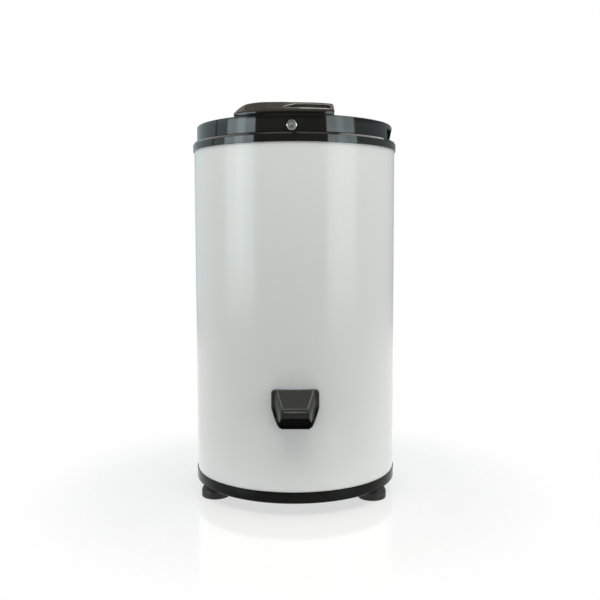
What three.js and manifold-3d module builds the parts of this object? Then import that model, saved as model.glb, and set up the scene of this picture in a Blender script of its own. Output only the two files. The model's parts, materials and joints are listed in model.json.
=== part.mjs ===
// Free-standing gravity-drain laundry spin dryer.
// Millimetres, +Z up, the front (drain spout) faces -Y. The group's origin is the centre of the
// footprint box on the floor; the drum axis stands AXIS_Y behind it.
import * as THREE from "three";
import { mergeVertices } from "three/addons/utils/BufferGeometryUtils.js";
import Module from "manifold-3d";

const wasm = await Module();
wasm.setup();

// ---------------------------------------------------------------- driving dimensions
const AXIS_Y = 16.5; // drum axis behind the origin, so that the footprint box is centred
const R_CASE = 170; // outside of the sheet-steel casing
const CASE_T = 0.9;
const CASE_Z0 = 26.4;
const CASE_Z1 = 583;
const R_BASE = 171.3; // outside of the base pan
const BASE_Z0 = 19;
const BASE_Z1 = 37.5;
const R_COLLAR = 172; // outside of the top collar
const COLLAR_Z0 = 575.6;
const DECK_Z = 590.1; // top face of the collar
const R_THROAT = 122; // loading opening
const R_LID = 165;
const LID_Z0 = 591.1;
const LID_Z1 = 617; // rim of the lid
const GRIP_TOP = 636.7; // highest front edge of the lever grip
const GRIP_A0 = -34.7; // grip ends, degrees from the front towards the right
const GRIP_A1 = 22.6;
const LEVER_DEG = 16; // travel of the lever
const BOLT_TRAVEL = 12;
const HINGE_X = 158.5;
const HINGE_Z = 613.5;
const HINGE_R = 5.7;
const BOLT_A = -1; // azimuth and height of the front bolt
const BOLT_Z = 600.1;
const FOOT_R = 150.5; // pitch radius of the feet
const MOUNT_R = 112; // pitch radius of the rubber pillars
const POST_R = 135; // pitch radius of the tub posts
const R_TUB = 159;
const R_DRUM = 134;
const R_LIP = 121; // the drum's mouth
const DRUM_Z0 = 222.3;
const DRUM_Z1 = 549;
const SHAFT_R = 8;
const PLATE_Z = 75; // underside of the motor plate

// facets round each kind of ring
const N_BIG = 52; // casing, base pan, collar, lid
const N_MID = 40; // tub, drum, lid pan
const N_MOTOR = 24;
const N_SMALL = 16;

// ---------------------------------------------------------------- helpers
const rad = (d) => (d * Math.PI) / 180;
// azimuth in degrees from the front (-Y) towards +X
const at = (a, r, z = 0) => [r * Math.sin(rad(a)), -r * Math.cos(rad(a)), z];

function solid(geometry) {
  const g = geometry.index ? geometry.toNonIndexed() : geometry.clone();
  for (const k of Object.keys(g.attributes)) if (k !== "position") g.deleteAttribute(k);
  const m = mergeVertices(g, 1e-4);
  const tri = [];
  for (let i = 0; i < m.index.count; i += 3) {
    const a = m.index.getX(i), b = m.index.getX(i + 1), c = m.index.getX(i + 2);
    if (a !== b && b !== c && c !== a) tri.push(a, b, c);
  }
  const make = (t) =>
    new wasm.Manifold(
      new wasm.Mesh({
        numProp: 3,
        vertProperties: new Float32Array(m.attributes.position.array),
        triVerts: new Uint32Array(t),
      }),
    );
  const s = make(tri);
  if (s.volume() >= 0) return s;
  const r = [];
  for (let i = 0; i < tri.length; i += 3) r.push(tri[i], tri[i + 2], tri[i + 1]);
  return make(r);
}

function geometryOf(s) {
  const mesh = s.getMesh();
  const n = mesh.numProp;
  const p = new Float32Array((mesh.vertProperties.length / n) * 3);
  for (let i = 0; i < p.length / 3; i++)
    for (let k = 0; k < 3; k++) p[i * 3 + k] = mesh.vertProperties[i * n + k];
  const g = new THREE.BufferGeometry();
  g.setAttribute("position", new THREE.BufferAttribute(p, 3));
  g.setIndex(new THREE.BufferAttribute(new Uint32Array(mesh.triVerts), 1));
  g.computeVertexNormals();
  return g;
}

const lathe = (profile, n) =>
  solid(
    new THREE.LatheGeometry(profile.map(([r, z]) => new THREE.Vector2(r, z)), n).rotateX(Math.PI / 2),
  );
const ring = (profile, n) => lathe([...profile, profile[0]], n);
const rod = (r, z0, z1, n = 24, x = 0, y = 0) =>
  solid(new THREE.CylinderGeometry(r, r, z1 - z0, n).rotateX(Math.PI / 2).translate(x, y, (z0 + z1) / 2));
const rodY = (r, y0, y1, n, x, z) =>
  solid(new THREE.CylinderGeometry(r, r, y1 - y0, n).translate(x, (y0 + y1) / 2, z));
const box = (x0, x1, y0, y1, z0, z1) =>
  solid(new THREE.BoxGeometry(x1 - x0, y1 - y0, z1 - z0).translate((x0 + x1) / 2, (y0 + y1) / 2, (z0 + z1) / 2));
const tube = (r0, r1, z0, z1, n = 24) => ring([[r0, z0], [r1, z0], [r1, z1], [r0, z1]], n);
function plate(points, z0, z1) {
  const shape = new THREE.Shape(points.map(([x, y]) => new THREE.Vector2(x, y)));
  return solid(new THREE.ExtrudeGeometry(shape, { depth: z1 - z0, bevelEnabled: false }).translate(0, 0, z0));
}
// an outline in X and Z, pushed from y0 to y1
function frontPlate(points, y0, y1) {
  const shape = new THREE.Shape(points.map(([x, z]) => new THREE.Vector2(x, z)));
  return solid(
    new THREE.ExtrudeGeometry(shape, { depth: y1 - y0, bevelEnabled: false }).rotateX(Math.PI / 2).translate(0, y1, 0),
  );
}
// closed loops of equal length, joined one to the next; flat gives the first loop in its own plane
function loft(loops, capA, capB) {
  const n = loops[0].length;
  const pos = [];
  for (const l of loops) for (const p of l) pos.push(...p);
  const idx = [];
  for (let i = 0; i + 1 < loops.length; i++)
    for (let j = 0; j < n; j++) {
      const a = i * n + j, b = i * n + ((j + 1) % n), c = a + n, d = b + n;
      idx.push(a, b, d, a, d, c);
    }
  const cap = (flat, off, back) => {
    const v = flat.map(([x, y]) => new THREE.Vector2(x, y));
    const loopArea = THREE.ShapeUtils.area(v);
    for (const [a, b, c] of THREE.ShapeUtils.triangulateShape(v, [])) {
      const same = THREE.ShapeUtils.area([v[a], v[b], v[c]]) * loopArea > 0;
      idx.push(...(same === back ? [off + a, off + c, off + b] : [off + a, off + b, off + c]));
    }
  };
  cap(capA, 0, true);
  cap(capB, (loops.length - 1) * n, false);
  const g = new THREE.BufferGeometry();
  g.setAttribute("position", new THREE.BufferAttribute(new Float32Array(pos), 3));
  g.setIndex(idx);
  return solid(g);
}
// a round section swept along a list of points
function sweep(points, r, sides, steps) {
  const curve = new THREE.CatmullRomCurve3(points.map((p) => new THREE.Vector3(...p)), false, "centripetal");
  const shape = new THREE.Shape();
  for (let i = 0; i < sides; i++) {
    const t = (i / sides) * 2 * Math.PI;
    if (i) shape.lineTo(r * Math.cos(t), r * Math.sin(t));
    else shape.moveTo(r, 0);
  }
  return solid(new THREE.ExtrudeGeometry(shape, { steps, extrudePath: curve }));
}
const cut = (a, ...bs) => bs.reduce((s, b) => s.subtract(b), a);
const join = (a, ...bs) => bs.reduce((s, b) => s.add(b), a);
const smooth = (t) => {
  const c = Math.min(1, Math.max(0, t));
  return c * c * (3 - 2 * c);
};

// ---------------------------------------------------------------- finishes
const finish = (color, roughness, metalness = 0) =>
  new THREE.MeshStandardMaterial({ color, roughness, metalness, flatShading: true });
const WHITE_ENAMEL = finish(0xdcddd8, 0.22, 0.0);
const GLOSS_BLACK = finish(0x17181a, 0.12, 0.0);
const SATIN_BLACK = finish(0x2c2b28, 0.35, 0.0);
const CHROME = finish(0xd9dadc, 0.12, 1.0);
const STEEL = finish(0x9a9c9e, 0.35, 1.0);
const STAINLESS = finish(0xc4c6c6, 0.25, 1.0);
const ZINC = finish(0xa9adb0, 0.45, 1.0);
const ALUMINIUM = finish(0xb7b9bb, 0.4, 1.0);
const GREY_PLASTIC = finish(0xb9bcbc, 0.45, 0.0);
const RUBBER = finish(0x1a1a1a, 0.8, 0.0);
const MOTOR_PAINT = finish(0x3a3d40, 0.5, 0.2);
const COPPER = finish(0xa5562c, 0.4, 0.8);
const FRICTION = finish(0x5c4636, 0.9, 0.0);

const assembly = new THREE.Group();
const root = new THREE.Group();
root.position.y = AXIS_Y;
assembly.add(root);
function add(name, s, material) {
  const mesh = new THREE.Mesh(geometryOf(s), material);
  mesh.name = name;
  root.add(mesh);
  return mesh;
}

// ---------------------------------------------------------------- base pan, feet
const FEET = { left: -62, right: 58, rear: 178 };
{
  let pan = ring(
    [
      [28, BASE_Z0], [169.4, BASE_Z0], [R_BASE, 21], [R_BASE, BASE_Z1], [170.35, BASE_Z1], [170.35, 26],
      [167.5, 23.5], [28, 23.5],
    ],
    N_BIG,
  );
  const bosses = Object.values(FEET).map((a) => {
    const [x, y] = at(a, MOUNT_R);
    return rod(19, 23, 32, 14, x, y);
  });
  pan = join(pan, ...bosses);
  for (const a of Object.values(FEET)) {
    const [x, y] = at(a, FOOT_R);
    pan = pan.subtract(rod(2.8, 15, 40, 6, x, y));
  }
  // cooling slots in the floor
  for (let k = 0; k < 6; k++) {
    const a = rad(k * 60);
    const slot = solid(new THREE.BoxGeometry(46, 7, 20).translate(75, 0, 22).rotateZ(a));
    pan = pan.subtract(slot);
  }
  add("base_pan", pan, GLOSS_BLACK);
  for (const [name, a] of Object.entries(FEET)) {
    const [x, y] = at(a, FOOT_R);
    const foot = ring(
      [[2.8, 12.2], [6.2, 12.2], [6.2, 0], [22.4, 0], [23.6, 1.4], [23.6, 12], [22.4, 15.4], [20, 18.7], [2.8, 18.7]],
      N_SMALL,
    ).translate([x, y, 0]);
    add("foot_" + name, foot, RUBBER);
    const screw = join(rod(2.3, 11, 29, 6, x, y), rod(4.8, 8.6, 11.8, 8, x, y));
    add("foot_screw_" + name, screw, ZINC);
  }
}

// ---------------------------------------------------------------- casing
const WINDOW = { x: 27, z0: 160, z1: 192 };
const SPOUT_X = 1.2; // the spout sits a little right of the middle
const GLAND_Z = 97;
{
  let casing = ring(
    [[R_CASE - CASE_T, CASE_Z0], [R_CASE, CASE_Z0], [R_CASE, CASE_Z1], [R_CASE - CASE_T, CASE_Z1]],
    N_BIG,
  );
  casing = casing.subtract(box(-WINDOW.x, WINDOW.x, -180, -150, WINDOW.z0, WINDOW.z1));
  casing = casing.subtract(rodY(8.4, 150, 190, 12, 0, GLAND_Z));
  add("casing", casing, WHITE_ENAMEL);
}
// strain-relief gland in the rear of the casing
add(
  "cable_gland",
  join(
    cut(rodY(13, R_CASE + 0.3, 174.5, 12, 0, GLAND_Z), rodY(4.2, 150, 200, 8, 0, GLAND_Z)),
    cut(rodY(7.6, 160, 184, 8, 0, GLAND_Z), rodY(4.2, 150, 200, 8, 0, GLAND_Z)),
  ),
  SATIN_BLACK,
);

// ---------------------------------------------------------------- top collar
{
  let collar = ring(
    [
      [124.6, 556], [R_THROAT, 556], [R_THROAT, 588], [123.6, DECK_Z], [170.6, DECK_Z], [R_COLLAR, 588.2],
      [R_COLLAR, COLLAR_Z0], [170.35, COLLAR_Z0], [170.35, 586], [124.6, 586],
    ],
    N_BIG,
  );
  // slot in the throat for the latch bolt
  collar = collar.subtract(box(-127, -119, -13, 13, 572.5, 584));
  // shallow notch in the front edge, below the bolt
  collar = collar.subtract(
    frontPlate([[-2.2, 592], [1, 592], [10.2, 584.5], [10.2, 578.2], [0.8, 578.2], [0.8, 584.5]], -174, -170.95),
  );
  // slot in the deck for the lid's front tongue
  collar = collar.subtract(box(-9.8, 4.2, -161, -154.5, 580, 595));
  add("collar", collar, GLOSS_BLACK);
}

// ---------------------------------------------------------------- tub, drain duct, spout
const TUB_FLOOR = 166;
{
  let tub = ring(
    [
      [48, 186], [70, TUB_FLOOR], [R_TUB - 3, TUB_FLOOR], [R_TUB, TUB_FLOOR + 3], [R_TUB, 584],
      [R_TUB - 2.5, 584], [R_TUB - 2.5, TUB_FLOOR + 3.2], [71, TUB_FLOOR + 2.5], [49.5, 188.4],
    ],
    N_MID,
  );
  tub = tub.subtract(box(-19, 19, -170, -140, TUB_FLOOR + 3.7, 184));
  tub = tub.subtract(box(-170, -150, -3.4, 3.4, 566, 582));
  add("tub", tub, GREY_PLASTIC);
  add("tub_gasket", tube(155.6, 160.4, 584.3, 585.7, 40), RUBBER);
  [0, 120, -120].forEach((a, i) => {
    const [x, y] = at(a, POST_R);
    add("tub_post_" + (i + 1), rod(6, 23.8, TUB_FLOOR - 0.3, 10, x, y), STEEL);
  });
  const duct = cut(
    box(-22, 22, -172.6, -150, 166.6, 187),
    box(-20.2, 20.2, -180, -140, 168.6, 185.2),
    rod(R_TUB + 0.5, 100, 250, 60),
  );
  add("drain_duct", duct, GREY_PLASTIC);
}
// Spout: a flange block on the casing, and a hood whose top slopes down to a lip. The mouth is a
// slanted opening under the lip.
{
  const outline = [
    [-37, 192], [-35.6, 196.2], [-32.6, 198.6], [-28, 199], [28, 199], [32.6, 198.6], [35.6, 196.2], [37, 192],
    [37, 172], [35.6, 166.5], [27.6, 147.5], [25, 142.6], [20, 139.6], [-20, 139.6], [-25, 142.6],
    [-27.6, 147.5], [-35.6, 166.5], [-37, 172],
  ];
  // the block's corner edge is taken off in two steps
  const inset = (k) => outline.map(([x, z]) => [x * (1 - k / 37.5), 168 + (z - 168) * (1 - k / 30)]);
  const loop = (pts, y) => pts.map(([x, z]) => [x, y, z]);
  let block = loft(
    [loop(outline, -150), loop(outline, -175.6), loop(inset(1), -177.4), loop(inset(2.4), -178.3)],
    outline, inset(2.4),
  );
  // hood sections: back on the block, front at the crease above the nose
  const back = [
    [-27.5, 198.6], [27.5, 198.6], [31.8, 193], [32.8, 181], [28.8, 160], [25.4, 147], [22, 140.5], [-22, 140.5],
    [-25.4, 147], [-28.8, 160], [-32.8, 181], [-31.8, 193],
  ];
  const front = [
    [-18.6, 178.2], [18.6, 178.2], [21.4, 175.6], [22.4, 171], [22, 163], [20.8, 152], [18.2, 141], [-18.2, 141],
    [-20.8, 152], [-22, 163], [-22.4, 171], [-21.4, 175.6],
  ];
  const mix = (t) => back.map(([x, z], i) => [x + (front[i][0] - x) * t, z + (front[i][1] - z) * t]);
  // the nose rounds over: its upper points drop and close in
  const nose = (d, k) => front.map(([x, z]) => [x * (1 - k), z > 168 ? z - d : z]);
  const slope = (y) => Math.max(0, (-y - 178) / 35);
  const hoodYs = [-150, -178, -187, -196, -205, -213, -215.6, -217];
  const hoodFlats = [...hoodYs.slice(0, 6).map((y) => mix(slope(y))), nose(1.5, 0.015), nose(5, 0.05)];
  const hoodLoops = hoodYs.map((y, i) => loop(hoodFlats[i], y));
  let hood = loft(hoodLoops, hoodFlats[0], hoodFlats[hoodFlats.length - 1]);
  const shrink = (pts, d) => pts.map(([x, z]) => [x - Math.sign(x) * d, z > 168 ? z - d : z - 0.6 * d]);
  const inYs = [-150, -178, -187, -196, -205, -212, -214.4];
  const inFlats = [...inYs.slice(0, 6).map((y) => mix(slope(y))), nose(3.2, 0.03)].map((f) =>
    shrink(f, 2.6).map(([x, z]) => [x, z < 150 ? z - 8 : z]),
  );
  const inner = loft(inYs.map((y, i) => loop(inFlats[i], y)), inFlats[0], inFlats[inFlats.length - 1]);
  // everything below the mouth plane is taken off
  const under = solid(
    new THREE.BufferGeometry().copy(
      new THREE.ExtrudeGeometry(
        new THREE.Shape([
          new THREE.Vector2(-240, 181.4), new THREE.Vector2(-217.5, 166), new THREE.Vector2(-178.3, 139.2),
          new THREE.Vector2(-178.3, 100), new THREE.Vector2(-240, 100),
        ]),
        { depth: 120, bevelEnabled: false },
      )
        .rotateX(Math.PI / 2)
        .rotateZ(Math.PI / 2)
        .translate(-60, 0, 0),
    ),
  );
  let spout = join(block, hood);
  spout = spout.subtract(under);
  spout = spout.subtract(inner.intersect(box(-60, 60, -230, -177.6, 100, 250)));
  // passage through the flange, round the duct's end
  spout = spout.subtract(box(-28.6, 28.6, -178, -150, 159, 192.4));
  spout = spout.subtract(
    frontPlate([[-20.6, 141.2], [20.6, 141.2], [24.2, 144.8], [25, 152], [26, 161], [-26, 161], [-25, 152], [-24.2, 144.8]], -185, -174.6),
  );
  // small side pockets between flange and hood
  for (const s of [-1, 1]) {
    spout = spout.subtract(
      plateXZ([[s * 35.3, 173.5], [s * 33.6, 173.5], [s * 29.5, 160], [s * 31.1, 160]], -190, -173),
    );
  }
  spout = spout.translate([SPOUT_X, 0, 0]).subtract(rod(R_CASE + 0.35, 100, 250, N_BIG));
  add("spout", spout, SATIN_BLACK);
}
function plateXZ(points, y0, y1) {
  return frontPlate(points, y0, y1);
}

// ---------------------------------------------------------------- lid hinge on the collar
{
  let bracket = box(151, 168, -22, 22, DECK_Z + 0.3, 593);
  for (const s of [-1, 1]) {
    const y0 = s > 0 ? 13.3 : -21, y1 = s > 0 ? 21 : -13.3;
    bracket = join(bracket, box(153.2, 159.6, y0, y1, 591.5, HINGE_Z), rodY(HINGE_R, y0, y1, 14, HINGE_X, HINGE_Z));
  }
  bracket = bracket.subtract(rodY(2.75, -30, 30, 8, HINGE_X, HINGE_Z));
  add("hinge_bracket", bracket, GLOSS_BLACK);
  add("hinge_pin", rodY(2.3, -22, 22, 8, HINGE_X, HINGE_Z), STEEL);
}

// ---------------------------------------------------------------- latch housing under the collar
{
  const housing = cut(
    box(-153.6, -125.4, -15, 15, 574.4, 585.6),
    box(-152, -120, -11.5, 11.5, 576.4, 583.8),
    box(-160, -150, -3.2, 3.2, 576.4, 581.2),
  );
  add("latch_housing", housing, GREY_PLASTIC);
  add("microswitch", box(-151.6, -137.6, 2.8, 11.2, 576.8, 583.4), SATIN_BLACK);
  add("lock_slider", box(-134.5, -125.1, -8, 8, 576.9, 583.3), GREY_PLASTIC);
}

// ---------------------------------------------------------------- lid
const DOME = [[9.5, 626], [120, 621.5], [160.5, LID_Z1]];
const domeZ = (r) => {
  for (let i = 0; i + 1 < DOME.length; i++) {
    const [r0, z0] = DOME[i], [r1, z1] = DOME[i + 1];
    if (r <= r1) return z0 + ((z1 - z0) * (r - r0)) / (r1 - r0);
  }
  return LID_Z1;
};
const LID_SCREWS = [-30, -150, 150];
{
  let shell = ring(
    [
      [9.5, 623.4], [120, 618.9], [158.5, 614.4], [162.4, 611.5], [162.4, LID_Z0],
      [R_LID, LID_Z0], [R_LID, 612.8], [163.9, 615.8], [160.5, LID_Z1], [120, 621.5], [9.5, 626],
    ],
    N_BIG,
  );
  for (const a of LID_SCREWS) {
    const [x, y] = at(a, 140);
    shell = join(shell, cut(rod(5, 598.6, 618, 8, x, y), rod(2.2, 590, 612, 6, x, y)));
  }
  // the skirt is cut away beside the hinge, and the rim over the bracket; then the knuckle
  shell = shell.subtract(box(148, 175, -66, 66, 585, 609));
  shell = shell.subtract(box(151.8, 175, -23.5, 23.5, 585, 630));
  shell = join(shell, box(147, HINGE_X, -12.6, 12.6, 608.6, 617.6), rodY(HINGE_R, -12.6, 12.6, 14, HINGE_X, HINGE_Z));
  shell = shell.subtract(rodY(2.75, -30, 30, 8, HINGE_X, HINGE_Z));
  // hole for the front bolt
  shell = shell.subtract(radialRod(BOLT_A, 3.1, 150, 172, BOLT_Z, 10));
  add("lid_shell", shell, GLOSS_BLACK);

  let pan = lathe(
    [[0, 576], [116, 576], [117, 577], [117, 596], [156.4, 596], [156.4, 598.2], [114.6, 598.2], [114.6, 578.4], [0, 578.4]],
    N_MID,
  );
  pan = join(pan, box(-104, -62, 10.6, 13, 578, 585.6), box(-104, -62, -13, -10.6, 578, 585.6));
  pan = pan.subtract(box(-119, -112, -11, 11, 579.2, 587));
  pan = pan.subtract(box(151.5, 160, -23.5, 23.5, 590, 602));
  for (const a of LID_SCREWS) {
    const [x, y] = at(a, 140);
    pan = pan.subtract(rod(2.3, 590, 602, 6, x, y));
  }
  add("lid_pan", pan, GREY_PLASTIC);
  add("lid_seal", tube(127, 133, DECK_Z + 0.4, 595.7, 36), RUBBER);
  LID_SCREWS.forEach((a, i) => {
    const [x, y] = at(a, 140);
    add("lid_screw_" + (i + 1), join(rod(1.8, 594, 607, 6, x, y), rod(3.8, 592.6, 595.6, 8, x, y)), ZINC);
  });
}
// a rod standing out from the axis at azimuth a, at height z
function radialRod(a, r, r0, r1, z, n, spin = 0) {
  return solid(
    new THREE.CylinderGeometry(r, r, r1 - r0, n)
      .rotateY(spin)
      .translate(0, -(r0 + r1) / 2, z)
      .rotateZ(rad(a)),
  );
}
// chrome hexagon bolt through the front of the lid rim, and the tongue it holds
add(
  "front_hex_bolt",
  join(radialRod(BOLT_A, 8.6, R_LID + 0.3, 169.6, BOLT_Z, 6, Math.PI / 6), radialRod(BOLT_A, 2.6, 157, 166, BOLT_Z, 10)),
  CHROME,
);
{
  const tongue = cut(box(-4, 4, -160.4, -157.8, 586.7, 609).rotate([0, 0, BOLT_A]), radialRod(BOLT_A, 3.1, 150, 172, BOLT_Z, 10));
  add("front_catch_tongue", tongue, STEEL);
}

// ---------------------------------------------------------------- lever on the lid
// Height of the grip's front top edge at azimuth a.
const TOP_LINE = [
  [GRIP_A0, 622.8], [-33.8, 624.2], [-31.5, 629.4], [-29.5, 632.6], [-27.5, 634.9], [-24.6, 636], [-20, GRIP_TOP], [-17, GRIP_TOP],
  [-8, 636], [3, 635.4], [14, 635.3], [20.7, 634.5], [21.8, 633.4], [GRIP_A1, 631.4],
];
function gripTop(a) {
  for (let i = 0; i + 1 < TOP_LINE.length; i++) {
    const [a0, z0] = TOP_LINE[i], [a1, z1] = TOP_LINE[i + 1];
    if (a <= a1 + 1e-9) return z0 + ((z1 - z0) * (a - a0)) / (a1 - a0);
  }
  return TOP_LINE[TOP_LINE.length - 1][1];
}
// The finger scoop in the right half of the front face: lower edge, upper edge, depth.
function scoop(a) {
  const t = (a + 5.6) / 26.2; // 0 at the pointed left end, 1 at the right end
  if (t <= 0 || t >= 1) return [626.4, 631, 0];
  const low = 626.6 - 0.9 * smooth(t / 0.2);
  const up = 626.9 + 5.4 * Math.pow(Math.min(1, t / 0.26), 0.55);
  const depth = 7 * smooth(t / 0.24) * smooth((1 - t) / 0.07);
  return [low, up, depth];
}
function gripSection(a) {
  const zt = gripTop(a);
  let [zl, zu, d] = scoop(a);
  const k = Math.min(1, (zt - 621.4) / (635.3 - 621.4));
  const f = (z) => 621.4 + (z - 621.4) * k;
  zl = f(zl);
  zu = f(zu);
  const zm = (zl + zu) / 2, h = zu - zl;
  // above the groove and its ledge the face leans back
  const face = (z) => 163.8 - 0.42 * Math.max(0, z - f(626)) - 0.02 * k;
  return [
    [R_LID, 617.4], [R_LID, 621.2], [163.2, 621.3], [163.2, f(623.7)], [R_LID - 0.1, f(624)], [163.9, f(625.8)],
    [face(zl), zl], [face(zl) - 0.62 * d, zl + 0.2 * h], [face(zm) - d, zm + 0.1 * h], [face(zu) - 0.62 * d, zu - 0.1 * h],
    [face(zu), zu], [face(zt - 1.4 * k), zt - 1.4 * k], [157.4, zt], [140, zt + 0.5], [121, zt - 0.4],
    [116.2, zt - Math.min(2.4, (zt - 622) * 0.4)], [113.6, Math.min(zt - 0.6, 629)], [112, domeZ(112) + 0.5], [140, domeZ(140) + 0.5],
  ];
}
{
  const angles = [
    GRIP_A0, -33.8, -32.6, -31.5, -29.5, -27.5, -24.6, -20, -14, -8, -5.6, -4.6, -3, -1, 1, 4, 9, 14, 18.4, 19.4, 20.2, 20.7, 21.8, GRIP_A1,
  ];
  const flats = angles.map(gripSection);
  const loops = flats.map((f, i) => f.map(([r, z]) => at(angles[i], r, z)));
  const grip = loft(loops, flats[0], flats[flats.length - 1]);
  const edge = [];
  for (let a = -27; a <= 13; a += 8) edge.push(at(a, 124).slice(0, 2));
  const arm = plate(
    [at(-112, 27).slice(0, 2), at(-80, 27).slice(0, 2), at(-48, 60).slice(0, 2), ...edge, at(33, 60).slice(0, 2), at(66, 27).slice(0, 2), at(98, 27).slice(0, 2), at(172, 27).slice(0, 2)],
    627, 632.4,
  );
  let lever = join(grip, arm, rod(27.4, 627, 634.4, 28));
  lever = cut(lever, rod(3.6, 600, 640, 10), rod(7.4, 630.8, 640, 16));
  add("lever_handle", lever, GLOSS_BLACK);
  add("lever_screw", join(rod(3.1, 606, 632, 8), rod(6.8, 631.2, 634.6, 14)), ZINC);
  // cam under the lid: a spiral slot turns the lever's travel into the bolt's straight travel
  const path = [];
  for (let k = 0; k <= 10; k++) {
    const t = -1.2 + (LEVER_DEG + 2.4) * (k / 10);
    path.push([-t, 40 + (BOLT_TRAVEL * t) / LEVER_DEG]);
  }
  // azimuths run from the left of the machine (-90 degrees from the front)
  const mid = path.map(([t, r]) => at(-90 + t, r));
  const left = [], right = [];
  mid.forEach((p, i) => {
    const q0 = mid[Math.max(0, i - 1)], q1 = mid[Math.min(mid.length - 1, i + 1)];
    const dx = q1[0] - q0[0], dy = q1[1] - q0[1], l = Math.hypot(dx, dy);
    left.push([p[0] - (dy / l) * 3.4, p[1] + (dx / l) * 3.4]);
    right.push([p[0] + (dy / l) * 3.4, p[1] - (dx / l) * 3.4]);
  });
  let slot = plate([...left, ...right.reverse()], 580, 600);
  slot = join(slot, rod(3.4, 580, 600, 12, mid[0][0], mid[0][1]), rod(3.4, 580, 600, 12, mid[10][0], mid[10][1]));
  const cam = cut(join(rod(58, 588.2, 591.4, 32), rod(8.6, 591, 626.7, N_SMALL)), slot, rod(3.5, 604, 640, 10));
  add("lever_cam", cam, GREY_PLASTIC);
  add("latch_bolt", join(box(-115.6, -34, -9.8, 9.8, 579.6, 583.2), rod(2.7, 583, 593, 12, -40, 0)), ZINC);
}

// ---------------------------------------------------------------- drum unit on rubber pillars
{
  let mplate = tube(52.6, 72, PLATE_Z, PLATE_Z + 3, 28);
  for (const a of Object.values(FEET)) {
    const arm = box(-17, 17, -128, -60, PLATE_Z, PLATE_Z + 3).rotate([0, 0, a]);
    mplate = mplate.add(cut(arm, rod(62, 60, 90, 28)));
  }
  mplate = mplate.add(box(-15, -12, -70, -64.4, 38, PLATE_Z + 1)); // spring tab
  mplate = mplate.add(box(-15, -12, -70, -46, 38, 48));
  mplate = mplate.add(box(-58, -40, 38, 56, PLATE_Z, PLATE_Z + 3)); // pivot pad
  mplate = mplate.subtract(rod(3.2, 60, 90, 10, -48, 47));
  add("motor_plate", mplate, ZINC);
  Object.values(FEET).forEach((a, i) => {
    const [x, y] = at(a, MOUNT_R);
    add(
      "rubber_pillar_" + ["left", "right", "rear"][i],
      lathe([[0, 32.3], [16, 32.3], [16, 37], [11.5, 46], [11.5, 61], [16, 70], [16, PLATE_Z - 0.3], [0, PLATE_Z - 0.3]], 12).translate([x, y, 0]),
      RUBBER,
    );
  });
  add(
    "motor_can",
    ring([[64.5, 78.3], [66.2, 78.3], [66.2, 147.5], [63.5, 150], [20.4, 150], [20.4, 148], [64.5, 146]], N_MOTOR),
    MOTOR_PAINT,
  );
  add(
    "motor_end_cap",
    ring([[15.4, 60.4], [19.5, 60.4], [19.5, 66], [62, 71.4], [62, 74.7], [15.4, 74.7]], N_MOTOR),
    ALUMINIUM,
  );
  add(
    "bearing_tube",
    ring([[15.4, 150.3], [42, 150.3], [42, 153.6], [19.5, 156.5], [19.5, 204], [15.4, 204]], 20),
    ALUMINIUM,
  );
  add("upper_bearing", tube(SHAFT_R + 0.4, 15, 191, 203, N_SMALL), STEEL);
  add("lower_bearing", tube(SHAFT_R + 0.4, 15, 61, 70, N_SMALL), STEEL);
  add(
    "stator",
    ring([[41, 93], [44, 84], [58, 84], [64, 93], [64, 133], [58, 142], [44, 142], [41, 133]], N_MOTOR),
    COPPER,
  );
  // sealing bellows between the tub floor and the bearing tube
  add(
    "tub_bellows",
    ring(
      [
        [53, 188.8], [53, 190.8], [44, 190.8], [39, 187.4], [33, 192.4], [25, 190.4], [20.2, 197],
        [20.2, 193.6], [24.4, 187.8], [32.6, 189.8], [39, 184.6], [45.6, 188.8],
      ],
      20,
    ),
    RUBBER,
  );
  // brake: lever on a pivot pin under the plate, shoe against the wheel, return spring
  add("brake_pivot_pin", join(rod(2.9, 37, 77.6, 8, -48, 47), rod(4.6, 35, 37.4, 8, -48, 47)), STEEL);
  const leverBar = cut(
    join(box(-53, -44.4, -56, 44, 39, 47), rod(8, 39, 47, 12, -48, 47)),
    rod(3.4, 30, 60, 8, -48, 47),
  );
  add("brake_lever", leverBar, STEEL);
  add("brake_shoe", cut(box(-44.1, -28, -13, 13, 38.6, 47.4), rod(34.5, 30, 60, 48)), FRICTION);
  const coil = [];
  const turns = 5, c0 = -42.6, c1 = -16.4;
  for (let k = 0; k <= turns * 6; k++) {
    const t = k / (turns * 6);
    coil.push([c0 + (c1 - c0) * t, -52 + 3.6 * Math.cos(t * turns * 2 * Math.PI), 43 + 3.6 * Math.sin(t * turns * 2 * Math.PI)]);
  }
  add("brake_spring", sweep(coil, 0.8, 4, turns * 6), STEEL);
  // cable in its sheath, from the latch housing down inside the casing to the brake
  add(
    "brake_cable",
    sweep(
      [
        [-134.9, 0, 579.2], [-145, 0, 579.2], [-153, 0, 578.8], [-158.6, 0, 575.4], [-162.6, 0, 566], [-164.2, 0, 548],
        [-164.2, 0, 400], [-164.2, 0, 250], [-164.2, 0, 140], [-163, -1.5, 112], [-155, -6, 84], [-138, -15, 61],
        [-114, -24, 49], [-90, -34, 44], [-72, -45, 43], [-53.5, -51, 43],
      ],
      1.9, 5, 34,
    ),
    RUBBER,
  );
}
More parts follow.
